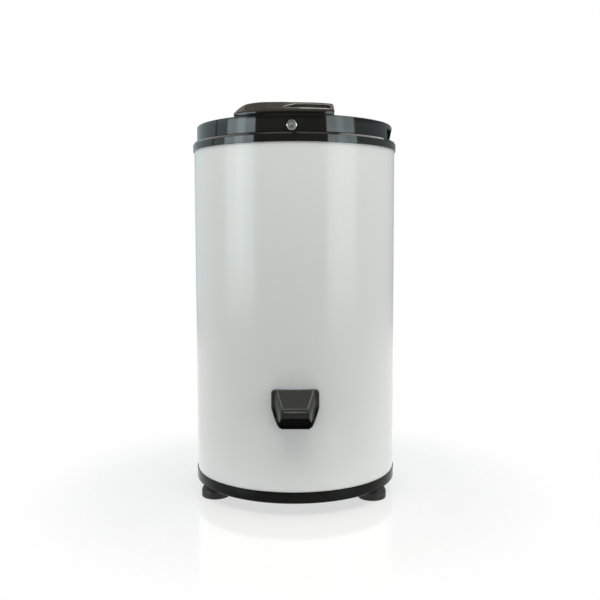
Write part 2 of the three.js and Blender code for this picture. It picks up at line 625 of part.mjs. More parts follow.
// ---------------------------------------------------------------- rotating group
{
  add("motor_shaft", join(rod(SHAFT_R, 34, 222, N_SMALL), rod(5, 221, 243, 10)), STEEL);
  add("rotor_core", tube(SHAFT_R + 0.35, 39.6, 93, 133, 20), STEEL);
  let wheel = tube(SHAFT_R + 0.35, 34, 38, 49, N_MOTOR);
  for (let k = 0; k < 6; k++) {
    const blade = box(-1.2, 1.2, 13, 31, 48, 57.6).rotate([0, 0, k * 60]);
    wheel = wheel.add(blade);
  }
  add("brake_fan_wheel", wheel, ALUMINIUM);
  add(
    "drum_hub",
    ring([[SHAFT_R + 0.35, 207], [22, 207], [24, 213.4], [74, 219.4], [74, 222], [SHAFT_R + 0.35, 222]], N_MOTOR),
    ALUMINIUM,
  );
  let drum = ring(
    [
      [5.6, DRUM_Z0], [127.5, DRUM_Z0], [R_DRUM, 229], [R_DRUM, 545.5], [131.4, DRUM_Z1], [R_LIP, DRUM_Z1],
      [R_LIP, 547.6], [130.6, 547.6], [132.8, 545], [132.8, 229.5], [127, 223.6], [5.6, 223.6],
    ],
    N_MID,
  );
  for (let row = 0; row < 3; row++)
    for (let k = 0; k < 8; k++) {
      const a = (k * 5 + (row % 2) * 2 + 0.5) * (360 / N_MID);
      drum = drum.subtract(radialRod(a, 4, 125, 140, 290 + row * 90, 5));
    }
  add("drum", drum, STAINLESS);
  add("balance_ring", tube(123.6, 131.8, 535.6, 544.6, 32), GREY_PLASTIC);
  add("drum_nut", cut(rod(9, 224, 232, 6), rod(5.6, 220, 240, 8)), ZINC);
  add(
    "drum_cap",
    lathe([[0, 247.4], [9, 246.8], [16, 244.2], [20, 238], [24, 224], [21.6, 224], [17.8, 237], [14.4, 242.4], [0, 245]], N_SMALL),
    GREY_PLASTIC,
  );
}
// run capacitor on the base pan
{
  const [x, y] = at(90, 122);
  add("run_capacitor", join(rod(17, 23.8, 78, 14, x, y), rod(4, 77, 84, 6, x, y)), GREY_PLASTIC);
}

export default assembly;
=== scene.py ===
import json
import math

import bmesh
import bpy
import numpy as np
from mathutils import Matrix, Vector

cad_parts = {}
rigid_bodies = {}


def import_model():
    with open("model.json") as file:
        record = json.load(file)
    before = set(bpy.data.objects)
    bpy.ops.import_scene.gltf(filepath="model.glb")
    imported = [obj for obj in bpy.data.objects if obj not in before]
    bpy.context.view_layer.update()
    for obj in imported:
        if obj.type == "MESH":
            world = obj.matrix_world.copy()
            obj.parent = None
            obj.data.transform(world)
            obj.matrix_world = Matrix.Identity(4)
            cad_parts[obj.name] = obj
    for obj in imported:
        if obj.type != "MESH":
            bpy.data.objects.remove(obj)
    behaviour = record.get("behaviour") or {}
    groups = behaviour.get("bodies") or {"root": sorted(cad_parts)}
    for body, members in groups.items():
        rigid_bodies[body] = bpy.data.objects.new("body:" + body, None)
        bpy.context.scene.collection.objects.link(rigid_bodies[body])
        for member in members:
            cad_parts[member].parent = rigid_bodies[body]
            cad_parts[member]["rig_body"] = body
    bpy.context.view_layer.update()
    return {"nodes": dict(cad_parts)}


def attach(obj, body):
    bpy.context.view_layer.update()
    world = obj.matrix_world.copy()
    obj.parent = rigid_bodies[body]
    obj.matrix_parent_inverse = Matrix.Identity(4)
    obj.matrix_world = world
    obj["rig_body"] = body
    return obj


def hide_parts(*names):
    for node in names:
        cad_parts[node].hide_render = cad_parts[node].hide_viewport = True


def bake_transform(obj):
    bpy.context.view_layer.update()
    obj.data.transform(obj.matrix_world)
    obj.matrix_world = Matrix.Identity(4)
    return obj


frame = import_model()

AXIS_Y = 16.5  # drum axis, in mm behind the origin
sc = bpy.context.scene

# ------------------------------------------------------------------ camera
cam_data = bpy.data.cameras.new("camera")
cam = bpy.data.objects.new("camera", cam_data)
sc.collection.objects.link(cam)
cam_data.sensor_width = 36.0
cam_data.lens = 46.8
cam.location = (0.0091, (AXIS_Y - 1353.5) / 1000.0, 0.4293)
cam.rotation_euler = (math.radians(90 - 4.46), math.radians(0.145), 0)
cam_data.clip_end = 60
sc.camera = cam
sc.view_settings.view_transform = "Standard"
sc.view_settings.look = "None"


# ------------------------------------------------------------------ node helpers
class Tree:
    """Short hand for building a shader tree."""

    def __init__(self, tree):
        self.t = tree
        self.x = 0

    def n(self, kind, **kw):
        node = self.t.nodes.new(kind)
        self.x += 180
        node.location = (self.x, 0)
        for k, v in kw.items():
            setattr(node, k, v)
        return node

    def link(self, a, b):
        self.t.links.new(a, b)

    def math(self, op, a, b=None, c=None, clamp=False):
        m = self.n("ShaderNodeMath", operation=op, use_clamp=clamp)
        for i, v in enumerate((a, b, c)):
            if v is None:
                continue
            if isinstance(v, (int, float)):
                m.inputs[i].default_value = v
            else:
                self.link(v, m.inputs[i])
        return m.outputs[0]

    def step(self, v, a, b, lo=0.0, hi=1.0):
        """smooth step of v from a to b"""
        m = self.n("ShaderNodeMapRange", interpolation_type="SMOOTHSTEP")
        self.link(v, m.inputs["Value"])
        m.inputs["From Min"].default_value = a
        m.inputs["From Max"].default_value = b
        m.inputs["To Min"].default_value = lo
        m.inputs["To Max"].default_value = hi
        return m.outputs[0]

    def window(self, v, a, b, sa, sb):
        """1 between a and b, with soft edges sa and sb wide"""
        up = self.step(v, a - sa / 2, a + sa / 2)
        down = self.step(v, b - sb / 2, b + sb / 2, 1.0, 0.0)
        return self.math("MULTIPLY", up, down)


def hex_lin(r, g, b):
    f = lambda c: (c / 255 / 12.92) if c <= 10 else ((c / 255 + 0.055) / 1.055) ** 2.4
    return (f(r), f(g), f(b), 1.0)


def material(name, color, roughness, metallic=0.0, ior=1.5, vary=0.0, vary_scale=6.0, rough_vary=0.0,
             rough_scale=40.0, bumps=(), coat=0.0, coat_rough=0.05, brushed=None, wear=None, spec=0.5, grime=None):
    """A Principled material with procedural variation.
    bumps: (scale per metre, strength, distance in m, detail); brushed: axis the streaks run along;
    wear: colour that shows on worn edges; grime: (colour, amount) in broad soft patches."""
    m = bpy.data.materials.new(name)
    m.use_nodes = True
    t = Tree(m.node_tree)
    t.t.nodes.clear()
    out = t.n("ShaderNodeOutputMaterial")
    p = t.n("ShaderNodeBsdfPrincipled")
    t.link(p.outputs[0], out.inputs[0])
    p.inputs["Metallic"].default_value = metallic
    p.inputs["IOR"].default_value = ior
    p.inputs["Specular IOR Level"].default_value = spec
    p.inputs["Coat Weight"].default_value = coat
    p.inputs["Coat Roughness"].default_value = coat_rough
    coords = t.n("ShaderNodeTexCoord").outputs["Object"]
    col = None
    if vary or grime or wear:
        base = t.n("ShaderNodeRGB")
        base.outputs[0].default_value = (*color, 1)
        col = base.outputs[0]
    if vary:
        nz = t.n("ShaderNodeTexNoise")
        nz.inputs["Scale"].default_value = vary_scale
        nz.inputs["Detail"].default_value = 4
        t.link(coords, nz.inputs["Vector"])
        k = t.step(nz.outputs["Fac"], 0.3, 0.7, 1 - vary, 1 + vary)
        mul = t.n("ShaderNodeVectorMath", operation="SCALE")
        t.link(col, mul.inputs[0])
        t.link(k, mul.inputs["Scale"])
        col = mul.outputs[0]
    if grime:
        nz = t.n("ShaderNodeTexNoise")
        nz.inputs["Scale"].default_value = 14
        nz.inputs["Detail"].default_value = 6
        t.link(coords, nz.inputs["Vector"])
        k = t.step(nz.outputs["Fac"], 0.5, 0.72, 0.0, grime[1])
        mx = t.n("ShaderNodeMix", data_type="RGBA")
        t.link(k, mx.inputs["Factor"])
        t.link(col, mx.inputs[6])
        mx.inputs[7].default_value = (*grime[0], 1)
        col = mx.outputs[2]
    if wear:
        geo = t.n("ShaderNodeNewGeometry")
        nz = t.n("ShaderNodeTexNoise")
        nz.inputs["Scale"].default_value = 180
        nz.inputs["Detail"].default_value = 5
        t.link(coords, nz.inputs["Vector"])
        a = t.step(geo.outputs["Pointiness"], 0.52, 0.6)
        b = t.step(nz.outputs["Fac"], 0.45, 0.65)
        k = t.math("MULTIPLY", a, b)
        k = t.math("MULTIPLY", k, 0.6)
        mx = t.n("ShaderNodeMix", data_type="RGBA")
        t.link(k, mx.inputs["Factor"])
        t.link(col, mx.inputs[6])
        mx.inputs[7].default_value = (*wear, 1)
        col = mx.outputs[2]
    if col is None:
        p.inputs["Base Color"].default_value = (*color, 1)
    else:
        t.link(col, p.inputs["Base Color"])
    vec = coords
    if brushed:
        mp = t.n("ShaderNodeMapping")
        mp.inputs["Scale"].default_value = brushed
        t.link(coords, mp.inputs["Vector"])
        vec = mp.outputs[0]
    if rough_vary:
        nz = t.n("ShaderNodeTexNoise")
        nz.inputs["Scale"].default_value = rough_scale
        nz.inputs["Detail"].default_value = 5
        t.link(vec, nz.inputs["Vector"])
        r = t.step(nz.outputs["Fac"], 0.3, 0.7, max(0.01, roughness - rough_vary), min(1.0, roughness + rough_vary))
        t.link(r, p.inputs["Roughness"])
    else:
        p.inputs["Roughness"].default_value = roughness
    last = None
    for scale, strength, dist, detail in bumps:
        nz = t.n("ShaderNodeTexNoise")
        nz.inputs["Scale"].default_value = scale
        nz.inputs["Detail"].default_value = detail
        t.link(vec, nz.inputs["Vector"])
        b = t.n("ShaderNodeBump")
        b.inputs["Strength"].default_value = strength
        b.inputs["Distance"].default_value = dist
        t.link(nz.outputs["Fac"], b.inputs["Height"])
        if last is not None:
            t.link(last, b.inputs["Normal"])
        last = b.outputs[0]
    if last is not None:
        t.link(last, p.inputs["Normal"])
    return m


M = {
    "white_enamel": material("white_enamel", (0.802, 0.800, 0.782), 0.17, vary=0.012, vary_scale=5, rough_vary=0.03,
                             rough_scale=30, bumps=[(260, 0.035, 0.0004, 2), (26, 0.02, 0.002, 1)]),
    "gloss_black": material("gloss_black", (0.0108, 0.0110, 0.0096), 0.055, ior=1.62, vary=0.25, vary_scale=9,
                            rough_vary=0.02, rough_scale=55, bumps=[(55, 0.02, 0.0006, 2)]),
    "pan_black": material("pan_black", (0.0055, 0.0054, 0.0050), 0.14, ior=1.45, spec=0.13, vary=0.2, vary_scale=9, rough_vary=0.03,
                          rough_scale=55, bumps=[(55, 0.02, 0.0006, 2), (800, 0.03, 0.0001, 2)]),
    "handle_black": material("handle_black", (0.043, 0.0420, 0.0350), 0.15, ior=1.6, vary=0.2, vary_scale=14,
                             rough_vary=0.03, rough_scale=60, bumps=[(420, 0.03, 0.0002, 3)]),
    "satin_black": material("satin_black", (0.0290, 0.0294, 0.0258), 0.34, ior=1.45, spec=0.3, vary=0.06, vary_scale=22,
                            rough_vary=0.05, rough_scale=90, bumps=[(1400, 0.10, 0.00012, 2), (300, 0.03, 0.0003, 2)]),
    # a light colour that paints a highlight on the rim round the finger scoop
    "edge_painted_highlight": material("edge_painted_highlight", (0.30, 0.295, 0.265), 0.16, ior=1.8, vary=0.2, vary_scale=60, rough_vary=0.04,
                           bumps=[(500, 0.03, 0.0001, 2)]),
    # a pale colour that paints the bright highlight on the scoop's floor line and left sweep
    "sill_painted_highlight": material("sill_painted_highlight", (0.56, 0.55, 0.50), 0.16, ior=1.8, vary=0.2, vary_scale=60, rough_vary=0.04,
                           bumps=[(500, 0.03, 0.0001, 2)]),
    # a lighter copy of the grip's black that paints light into the shaded finger scoop
    "scoop_painted_light": material("scoop_painted_light", (0.085, 0.083, 0.070), 0.22, ior=1.5, vary=0.12, vary_scale=14, rough_vary=0.03,
                            rough_scale=60, bumps=[(420, 0.03, 0.0002, 3)]),
    # a lighter black that paints highlight lines on the spout's creases and lip
    "edge_satin_painted_highlight": material("edge_satin_painted_highlight", (0.115, 0.115, 0.105), 0.28, ior=1.5, vary=0.2, vary_scale=60, rough_vary=0.05,
                           bumps=[(900, 0.06, 0.0001, 2)]),
    # near-black that paints shade in the spout's bore, mouth and side slits
    "spout_painted_shade": material("spout_painted_shade", (0.0035, 0.0037, 0.0036), 0.55, spec=0.12, vary=0.2, vary_scale=30, rough_vary=0.06,
                             bumps=[(900, 0.08, 0.0001, 2)]),
    "rubber": material("rubber", (0.0105, 0.0105, 0.0098), 0.50, vary=0.25, vary_scale=40, rough_vary=0.08,
                       bumps=[(900, 0.16, 0.0002, 3)], grime=((0.03, 0.029, 0.026), 0.25)),
    "bolt_chrome": material("bolt_chrome", (0.80, 0.80, 0.785), 0.36, metallic=1.0, rough_vary=0.06, rough_scale=160, vary=0.05,
                            vary_scale=90, bumps=[(700, 0.05, 0.0001, 2)]),
    "chrome": material("chrome", (0.83, 0.83, 0.82), 0.13, metallic=1.0, rough_vary=0.05, rough_scale=160, vary=0.04,
                       vary_scale=90, bumps=[(700, 0.04, 0.0001, 2)]),
    "zinc": material("zinc", (0.52, 0.53, 0.53), 0.38, metallic=1.0, vary=0.14, vary_scale=60, rough_vary=0.1,
                     rough_scale=80, bumps=[(900, 0.06, 0.0001, 3)], grime=((0.30, 0.27, 0.22), 0.35)),
    "steel": material("steel", (0.56, 0.56, 0.55), 0.27, metallic=1.0, vary=0.06, vary_scale=50, rough_vary=0.08,
                      brushed=(40, 40, 400), rough_scale=6, bumps=[(10, 0.05, 0.0001, 2)]),
    "stainless": material("stainless", (0.60, 0.60, 0.585), 0.27, metallic=1.0, vary=0.03, vary_scale=20,
                          rough_vary=0.07, brushed=(3, 3, 260), rough_scale=5, bumps=[(6, 0.06, 0.0001, 3)]),
    "grey_plastic": material("grey_plastic", (0.43, 0.445, 0.44), 0.42, vary=0.03, vary_scale=25, rough_vary=0.06,
                             rough_scale=60, bumps=[(1100, 0.08, 0.0001, 2)]),
    "pan_plastic": material("pan_plastic", (0.60, 0.61, 0.59), 0.38, vary=0.03, vary_scale=25, rough_vary=0.06,
                            rough_scale=60, bumps=[(1100, 0.07, 0.0001, 2)]),
    "aluminium": material("aluminium", (0.50, 0.505, 0.51), 0.45, metallic=1.0, vary=0.1, vary_scale=45,
                          rough_vary=0.1, rough_scale=90, bumps=[(700, 0.22, 0.0002, 4)]),
    "motor_enamel": material("motor_enamel", (0.045, 0.05, 0.055), 0.42, vary=0.15, vary_scale=25, rough_vary=0.08,
                             bumps=[(500, 0.06, 0.0002, 3)], grime=((0.12, 0.11, 0.09), 0.3)),
    "copper": material("copper", (0.45, 0.17, 0.075), 0.36, metallic=0.75, vary=0.25, vary_scale=60, rough_vary=0.1,
                       brushed=(30, 30, 500), rough_scale=6, bumps=[(8, 0.5, 0.0005, 2)]),
    "friction": material("friction", (0.10, 0.07, 0.05), 0.85, vary=0.35, vary_scale=300, bumps=[(900, 0.5, 0.0003, 4)]),
    "dark_plastic": material("dark_plastic", (0.03, 0.031, 0.032), 0.4, vary=0.2, vary_scale=40, rough_vary=0.06,
                             bumps=[(900, 0.08, 0.0001, 2)]),
}


# ------------------------------------------------------------------ mesh helpers (all in mm, about the drum axis)
def rad(d):
    return d * math.pi / 180


def at(a, r, z=0.0):
    return (r * math.sin(rad(a)), -r * math.cos(rad(a)), z)


def smooth(t):
    t = min(1.0, max(0.0, t))
    return t * t * (3 - 2 * t)


def fillet(points, radii, seg=4, closed=True, even=False):
    """Rounds the corners of a 2-D outline. radii is one number or one for each point.
    even: every corner gives the same number of points, for lofts."""
    n = len(points)
    if isinstance(radii, (int, float)):
        radii = [radii] * n
    out = []
    for i in range(n):
        p = np.array(points[i], float)
        r = radii[i]
        if r <= 0 or (not closed and i in (0, n - 1)):
            out.append(tuple(p))
            continue
        a, b = np.array(points[i - 1], float), np.array(points[(i + 1) % n], float)
        u, v = a - p, b - p
        lu, lv = np.linalg.norm(u), np.linalg.norm(v)
        u, v = u / lu, v / lv
        ang = math.acos(max(-1, min(1, float(u @ v))))
        if ang > math.pi - 0.02:
            out += [tuple(p)] * (seg + 1 if even else 1)
            continue
        d = min(r / math.tan(ang / 2), lu * 0.48, lv * 0.48)
        rr = d * math.tan(ang / 2)
        c = p + (u + v) / np.linalg.norm(u + v) * (rr / math.sin(ang / 2))
        s, e = p + u * d - c, p + v * d - c
        turn = math.acos(max(-1, min(1, float(s @ e) / (np.linalg.norm(s) * np.linalg.norm(e)))))
        sign = 1 if s[0] * e[1] - s[1] * e[0] > 0 else -1
        k = seg if even or turn > 0.5 else max(1, seg // 2)
        for j in range(k + 1):
            t = sign * turn * j / k
            q = c + np.array([s[0] * math.cos(t) - s[1] * math.sin(t), s[0] * math.sin(t) + s[1] * math.cos(t)])
            out.append(tuple(q))
    return out


def bm_from(verts, faces):
    bm = bmesh.new()
    vs = [bm.verts.new(v) for v in verts]
    bm.verts.ensure_lookup_table()
    for f in faces:
        try:
            bm.faces.new([vs[i] for i in f])
        except ValueError:
            pass
    bmesh.ops.recalc_face_normals(bm, faces=bm.faces)
    return bm


def lathe(profile, n, closed=True, spin=0.0):
    """profile: (r, z) points. closed joins the last point to the first; otherwise the ends lie on the axis."""
    verts, faces = [], []
    m = len(profile)
    rows = []
    for r, z in profile:
        if r < 1e-6:
            rows.append([len(verts)])
            verts.append((0, 0, z))
        else:
            rows.append(list(range(len(verts), len(verts) + n)))
            for k in range(n):
                verts.append(at(360 * k / n + spin, r, z))
    for i in range(m if closed else m - 1):
        a, b = rows[i], rows[(i + 1) % m]
        for k in range(n):
            k2 = (k + 1) % n
            if len(a) == 1 and len(b) == 1:
                continue
            if len(a) == 1:
                faces.append((a[0], b[k], b[k2]))
            elif len(b) == 1:
                faces.append((a[k], a[k2], b[0]))
            else:
                faces.append((a[k], a[k2], b[k2], b[k]))
    return bm_from(verts, faces)


def loft(loops, cap=True):
    verts, faces = [], []
    n = len(loops[0])
    for l in loops:
        verts += l
    for i in range(len(loops) - 1):
        for j in range(n):
            a, b = i * n + j, i * n + (j + 1) % n
            faces.append((a, b, b + n, a + n))
    if cap:
        faces.append(tuple(range(n - 1, -1, -1)))
        faces.append(tuple(range((len(loops) - 1) * n, len(loops) * n)))
    return bm_from(verts, faces)


def prism_z(outline, z0, z1):
    return loft([[(x, y, z0) for x, y in outline], [(x, y, z1) for x, y in outline]])


def prism_y(outline, y0, y1):
    return loft([[(x, y0, z) for x, z in outline], [(x, y1, z) for x, z in outline]])


def circle(r, n, cx=0.0, cy=0.0, spin=0.0):
    return [(cx + r * math.cos(2 * math.pi * k / n + spin), cy + r * math.sin(2 * math.pi * k / n + spin)) for k in range(n)]


def tube_along(points, r, sides=10, cap=True):
    """A round tube along points, with a frame carried from one to the next."""
    pts = [Vector(p) for p in points]
    loops = []
    normal = None
    for i, p in enumerate(pts):
        d = (pts[min(i + 1, len(pts) - 1)] - pts[max(i - 1, 0)]).normalized()
        if normal is None:
            normal = d.orthogonal().normalized()
        normal = (normal - d * normal.dot(d)).normalized()
        other = d.cross(normal)
        loops.append([tuple(p + (normal * math.cos(2 * math.pi * k / sides) + other * math.sin(2 * math.pi * k / sides)) * r)
                      for k in range(sides)])
    return loft(loops, cap)


def to_mesh(bm, name):
    me = bpy.data.meshes.new(name)
    bm.to_mesh(me)
    bm.free()
    return me


def temp(bm):
    me = to_mesh(bm, "tmp")
    ob = bpy.data.objects.new("tmp", me)
    sc.collection.objects.link(ob)
    return ob


def evaluated(ob):
    bpy.context.view_layer.update()
    dg = bpy.context.evaluated_depsgraph_get()
    me = bpy.data.meshes.new_from_object(ob.evaluated_get(dg))
    return me


def boolean(bm, cutters, op="DIFFERENCE"):
    """bm less (or with) each cutter; returns a new bmesh."""
    ob = temp(bm)
    made = [temp(c) for c in cutters]
    for c in made:
        md = ob.modifiers.new("b", "BOOLEAN")
        md.operation = op
        md.solver = "EXACT"
        md.object = c
    me = evaluated(ob)
    for o in (ob, *made):
        bpy.data.objects.remove(o)
    out = bmesh.new()
    out.from_mesh(me)
    bpy.data.meshes.remove(me)
    return out


def bevelled(bm, width, segments=2, angle=30):
    ob = temp(bm)
    md = ob.modifiers.new("bv", "BEVEL")
    md.width = width
    md.segments = segments
    md.limit_method = "ANGLE"
    md.angle_limit = rad(angle)
    md.use_clamp_overlap = True
    me = evaluated(ob)
    bpy.data.objects.remove(ob)
    out = bmesh.new()
    out.from_mesh(me)
    bpy.data.meshes.remove(me)
    return out


def joined(*bms):
    out = bmesh.new()
    for b in bms:
        me = bpy.data.meshes.new("j")
        b.to_mesh(me)
        b.free()
        out.from_mesh(me)
        bpy.data.meshes.remove(me)
    return out


def moved(bm, v=(0, 0, 0), rot_z=0.0, rot=None):
    m = Matrix.Translation(v) @ Matrix.Rotation(rad(rot_z), 4, "Z")
    if rot is not None:
        m = m @ rot
    bmesh.ops.transform(bm, matrix=m, verts=bm.verts)
    return bm


def radial(bm_y, a):
    """A shape made for the front (-Y side) turned to azimuth a."""
    return moved(bm_y, rot_z=a)


def piece(name, bm, body, mat, nodes=(), sharp=32.0, flat=False):
    """Turns a bmesh in mm about the drum axis into a finished piece in the row frame."""
    bmesh.ops.remove_doubles(bm, verts=bm.verts, dist=1e-4)
    bmesh.ops.dissolve_degenerate(bm, edges=bm.edges, dist=1e-5)
    bmesh.ops.recalc_face_normals(bm, faces=bm.faces)
    bmesh.ops.transform(bm, matrix=Matrix.Translation((0, AXIS_Y, 0)), verts=bm.verts)
    bmesh.ops.scale(bm, vec=(0.001,) * 3, verts=bm.verts)
    limit = rad(sharp)
    for f in bm.faces:
        f.smooth = not flat
    for e in bm.edges:
        e.smooth = len(e.link_faces) == 2 and e.calc_face_angle(0) < limit
    me = to_mesh(bm, name)
    ob = bpy.data.objects.new(name, me)
    sc.collection.objects.link(ob)
    me.materials.append(M[mat])
    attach(ob, body)
    if nodes:
        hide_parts(*nodes)
    return ob


def cyl_y(r, y0, y1, n, x, z):
    return prism_y([(x + r * math.sin(2 * math.pi * k / n), z + r * math.cos(2 * math.pi * k / n)) for k in range(n)], y0, y1)


def box_mm(x0, x1, y0, y1, z0, z1):
    return prism_z([(x0, y0), (x1, y0), (x1, y1), (x0, y1)], z0, z1)


N = 288
# ------------------------------------------------------------------ casing
casing = lathe(fillet([(169.1, 26.6), (170, 26.6), (170, 582.8), (169.1, 582.8)], 0.3, 1), N)
seam = box_mm(-0.35, 0.35, 169.72, 172, 20, 590)
gland_hole = cyl_y(8.4, 150, 190, 32, 0, 97)
casing = boolean(casing, [box_mm(-27, 27, -180, -150, 160, 192), gland_hole, seam])
piece("casing_sheet", casing, "cabinet", "white_enamel", ["casing"], sharp=25)

# ------------------------------------------------------------------ base pan and feet
pan = lathe(fillet([(28, 19), (169.6, 19), (171.3, 20.9), (171.3, 37.5), (170.35, 37.5), (170.35, 26), (167.5, 23.5), (28, 23.5)],
                   [0.6, 1.4, 1.6, 0.45, 0.3, 1, 1.5, 0.6], 4), N)
cutters = []
for k in range(6):
    slot = [(52 + 3.5, -3.5), (98 - 3.5, -3.5), (98, 0), (98 - 3.5, 3.5), (52 + 3.5, 3.5), (52, 0)]
    slot = fillet([(52, -3.5), (98, -3.5), (98, 3.5), (52, 3.5)], 3.4, 6)
    cutters.append(moved(prism_z(slot, 10, 30), rot_z=k * 60))
for k in range(6):
    slot = fillet([(116, -2.2), (146, -2.2), (146, 2.2), (116, 2.2)], 2.1, 5)
    for d in (-7, 7):
        cutters.append(moved(prism_z(slot, 21.9, 30), rot_z=k * 60 + d))
pan = boolean(pan, cutters)
# pressed ring ribs under the pan
ribs = [lathe(fillet([(r - 2.2, 19.3), (r - 1.1, 18.3), (r + 1.1, 18.3), (r + 2.2, 19.3)], 0.5, 2), 160) for r in (44, 106)]
FEET = {"left": -62, "right": 58, "rear": 178}
bosses = []
for a in FEET.values():
    x, y, _ = at(a, 112)
    b = lathe(fillet([(0, 23), (19, 23), (19, 32), (0, 32)], [0, 0, 1, 0], 3), 40, closed=False)
    bosses.append(moved(b, (x, y, 0)))
piece("base_pan_moulding", joined(pan, *ribs, *bosses), "cabinet", "pan_black", ["base_pan"])

for name, a in FEET.items():
    x, y, _ = at(a, 150.5)
    foot = lathe(fillet([(2.8, 12.2), (6.2, 12.2), (6.2, 0.9), (7.2, 0), (22.0, 0), (23.6, 1.6), (23.5, 12.2), (22.3, 15.4), (19.8, 18.7), (2.8, 18.7)],
                        [0.2, 0.3, 0.3, 0.3, 0.9, 1.2, 2.0, 2.0, 1.0, 0.2], 4), 72)
    cut = [moved(box_mm(-30, 30, -0.7, 0.7, -1, 0.7), (0, 0, 0), rot_z=k * 30) for k in range(3)]
    foot = boolean(foot, cut)
    piece("foot_rubber_" + name, moved(foot, (x, y, 0)), "cabinet", "rubber", ["foot_" + name])
    screw = joined(
        lathe(fillet([(0, 8.8), (3.6, 8.6), (4.8, 9.6), (4.8, 11.9), (2.3, 11.9), (2.3, 29), (0, 29)], [0, 0.8, 0.4, 0.2, 0.2, 0.4, 0], 3), 24, closed=False))
    screw = boolean(screw, [box_mm(-3.2, 3.2, -0.45, 0.45, 8, 10.2), box_mm(-0.45, 0.45, -3.2, 3.2, 8, 10.2)])
    piece("foot_screw_head_" + name, moved(screw, (x, y, 0)), "cabinet", "zinc", ["foot_screw_" + name])

# ------------------------------------------------------------------ collar
collar = lathe(fillet([(124.6, 556), (122, 556), (122, 588.7), (123.6, 590.1), (169.6, 590.1), (172, 586.9), (172, 575.6), (170.35, 575.6), (170.35, 586), (124.6, 586)],
                      [0.9, 0.9, 1.4, 1.4, 1.3, 1.7, 0.35, 0.3, 1, 1], 6), N)
collar = boolean(collar, [
    box_mm(-127, -119, -13, 13, 572.5, 584),
    box_mm(-9.8, 4.2, -161, -154.5, 580, 595),
    prism_y(fillet([(-2.2, 593), (1.2, 593), (10.2, 584.6), (10.2, 578.2), (0.8, 578.2), (0.6, 584.5)], [0, 0, 1.5, 0.8, 0.8, 2], 4), -174, -171.0),
    prism_y([(-6.0, 593), (0.6, 593), (4.2, 587.4), (2.4, 585.6), (-2.6, 587.4)], -174, -168.9),
])
piece("collar_moulding", collar, "cabinet", "gloss_black", ["collar"], sharp=28)

# ------------------------------------------------------------------ gland
gland = joined(
    lathe(fillet([(4.2, 0.3), (13, 0.3), (13, 2.6), (11.4, 4.5), (4.2, 4.5)], [0.2, 0.4, 0.8, 0.8, 0.2], 3), 48),
    lathe(fillet([(4.2, 4.2), (7.6, 4.2), (7.4, 13.4), (6.2, 13.95), (4.2, 13.95)], [0.2, 0.2, 0.8, 0.8, 0.4], 3), 48),
    lathe(fillet([(4.2, -10), (7.6, -10), (7.6, 0.6), (4.2, 0.6)], 0.4, 2), 40),
)
grooves = [box_mm(-9, 9, -1.2, 1.2, z, z + 1.1) for z in (6.4, 9.0)]
gland = boolean(gland, grooves)
gland = moved(gland, (0, 170, 97), rot=Matrix.Rotation(rad(-90), 4, "X"))
piece("cord_gland_body", gland, "cabinet", "satin_black", ["cable_gland"])


# ------------------------------------------------------------------ spout
def loop_y(pts, y):
    return [(x, y, z) for x, z in pts]


SPOUT_X = 1.2  # the spout sits a little right of the middle
outline = fillet([(-37, 199), (37, 199), (37, 171.5), (29.0, 147.2), (25.2, 139.6), (-25.2, 139.6), (-29.0, 147.2), (-37, 171.5)],
                 [5.5, 5.5, 8, 6, 6, 6, 6, 8], 6)


def inset(k):
    return [(x * (1 - k / 37.5), 168 + (z - 168) * (1 - k / 30)) for x, z in outline]


block = loft([loop_y(outline, -150), loop_y(outline, -175.4), loop_y(inset(0.5), -176.9), loop_y(inset(1.4), -177.9),
              loop_y(inset(2.6), -178.4)])
back = [(-27.5, 198.9), (27.5, 198.9), (32.0, 194), (33.2, 181), (29.0, 160), (25.4, 147), (22, 139), (-22, 139), (-25.4, 147), (-29.0, 160), (-33.2, 181), (-32.0, 194)]
front = [(-18.6, 178.2), (18.6, 178.2), (21.6, 175.8), (22.6, 171), (22.2, 163), (20.9, 152), (18.2, 140), (-18.2, 140), (-20.9, 152), (-22.2, 163), (-22.6, 171), (-21.6, 175.8)]


def mix(t):
    return [(b[0] + (f[0] - b[0]) * t, b[1] + (f[1] - b[1]) * t) for b, f in zip(back, front)]


def slope(y):
    return max(0.0, (-y - 178.0) / 35.0)


def nose(d, k):
    """the front section dropped by d above the lip and closed in by the share k"""
    return [(x * (1 - k), z - d * smooth((z - 164) / 9)) for x, z in front]


ROUND = [0.35, 0.35, 4, 4, 6, 4, 2, 2, 4, 6, 4, 4]
hood_y = [-150, -178, -184, -190, -196, -202, -208, -212.6, -213.6, -214.9, -216.0, -216.7, -217]
hood_sec = [mix(slope(y)) for y in hood_y[:8]] + [nose(0.55, 0.004), nose(1.7, 0.012), nose(3.5, 0.025), nose(5.6, 0.042), nose(8.0, 0.065)]
hood = loft([loop_y(fillet(q, ROUND, 4, even=True), y) for q, y in zip(hood_sec, hood_y)])
spout = boolean(block, [hood], "UNION")
mouth = [(-240, 181.4), (-217.5, 166), (-206, 158.4), (-194, 153.2), (-178.3, 151.2), (-178.3, 100), (-240, 100)]
under = loft([[(x, y, z) for y, z in mouth] for x in (-60, 60)])


def shrink(pts, d):
    return [(x - math.copysign(d, x), (z - d) if z > 166 else z - 9) for x, z in pts]


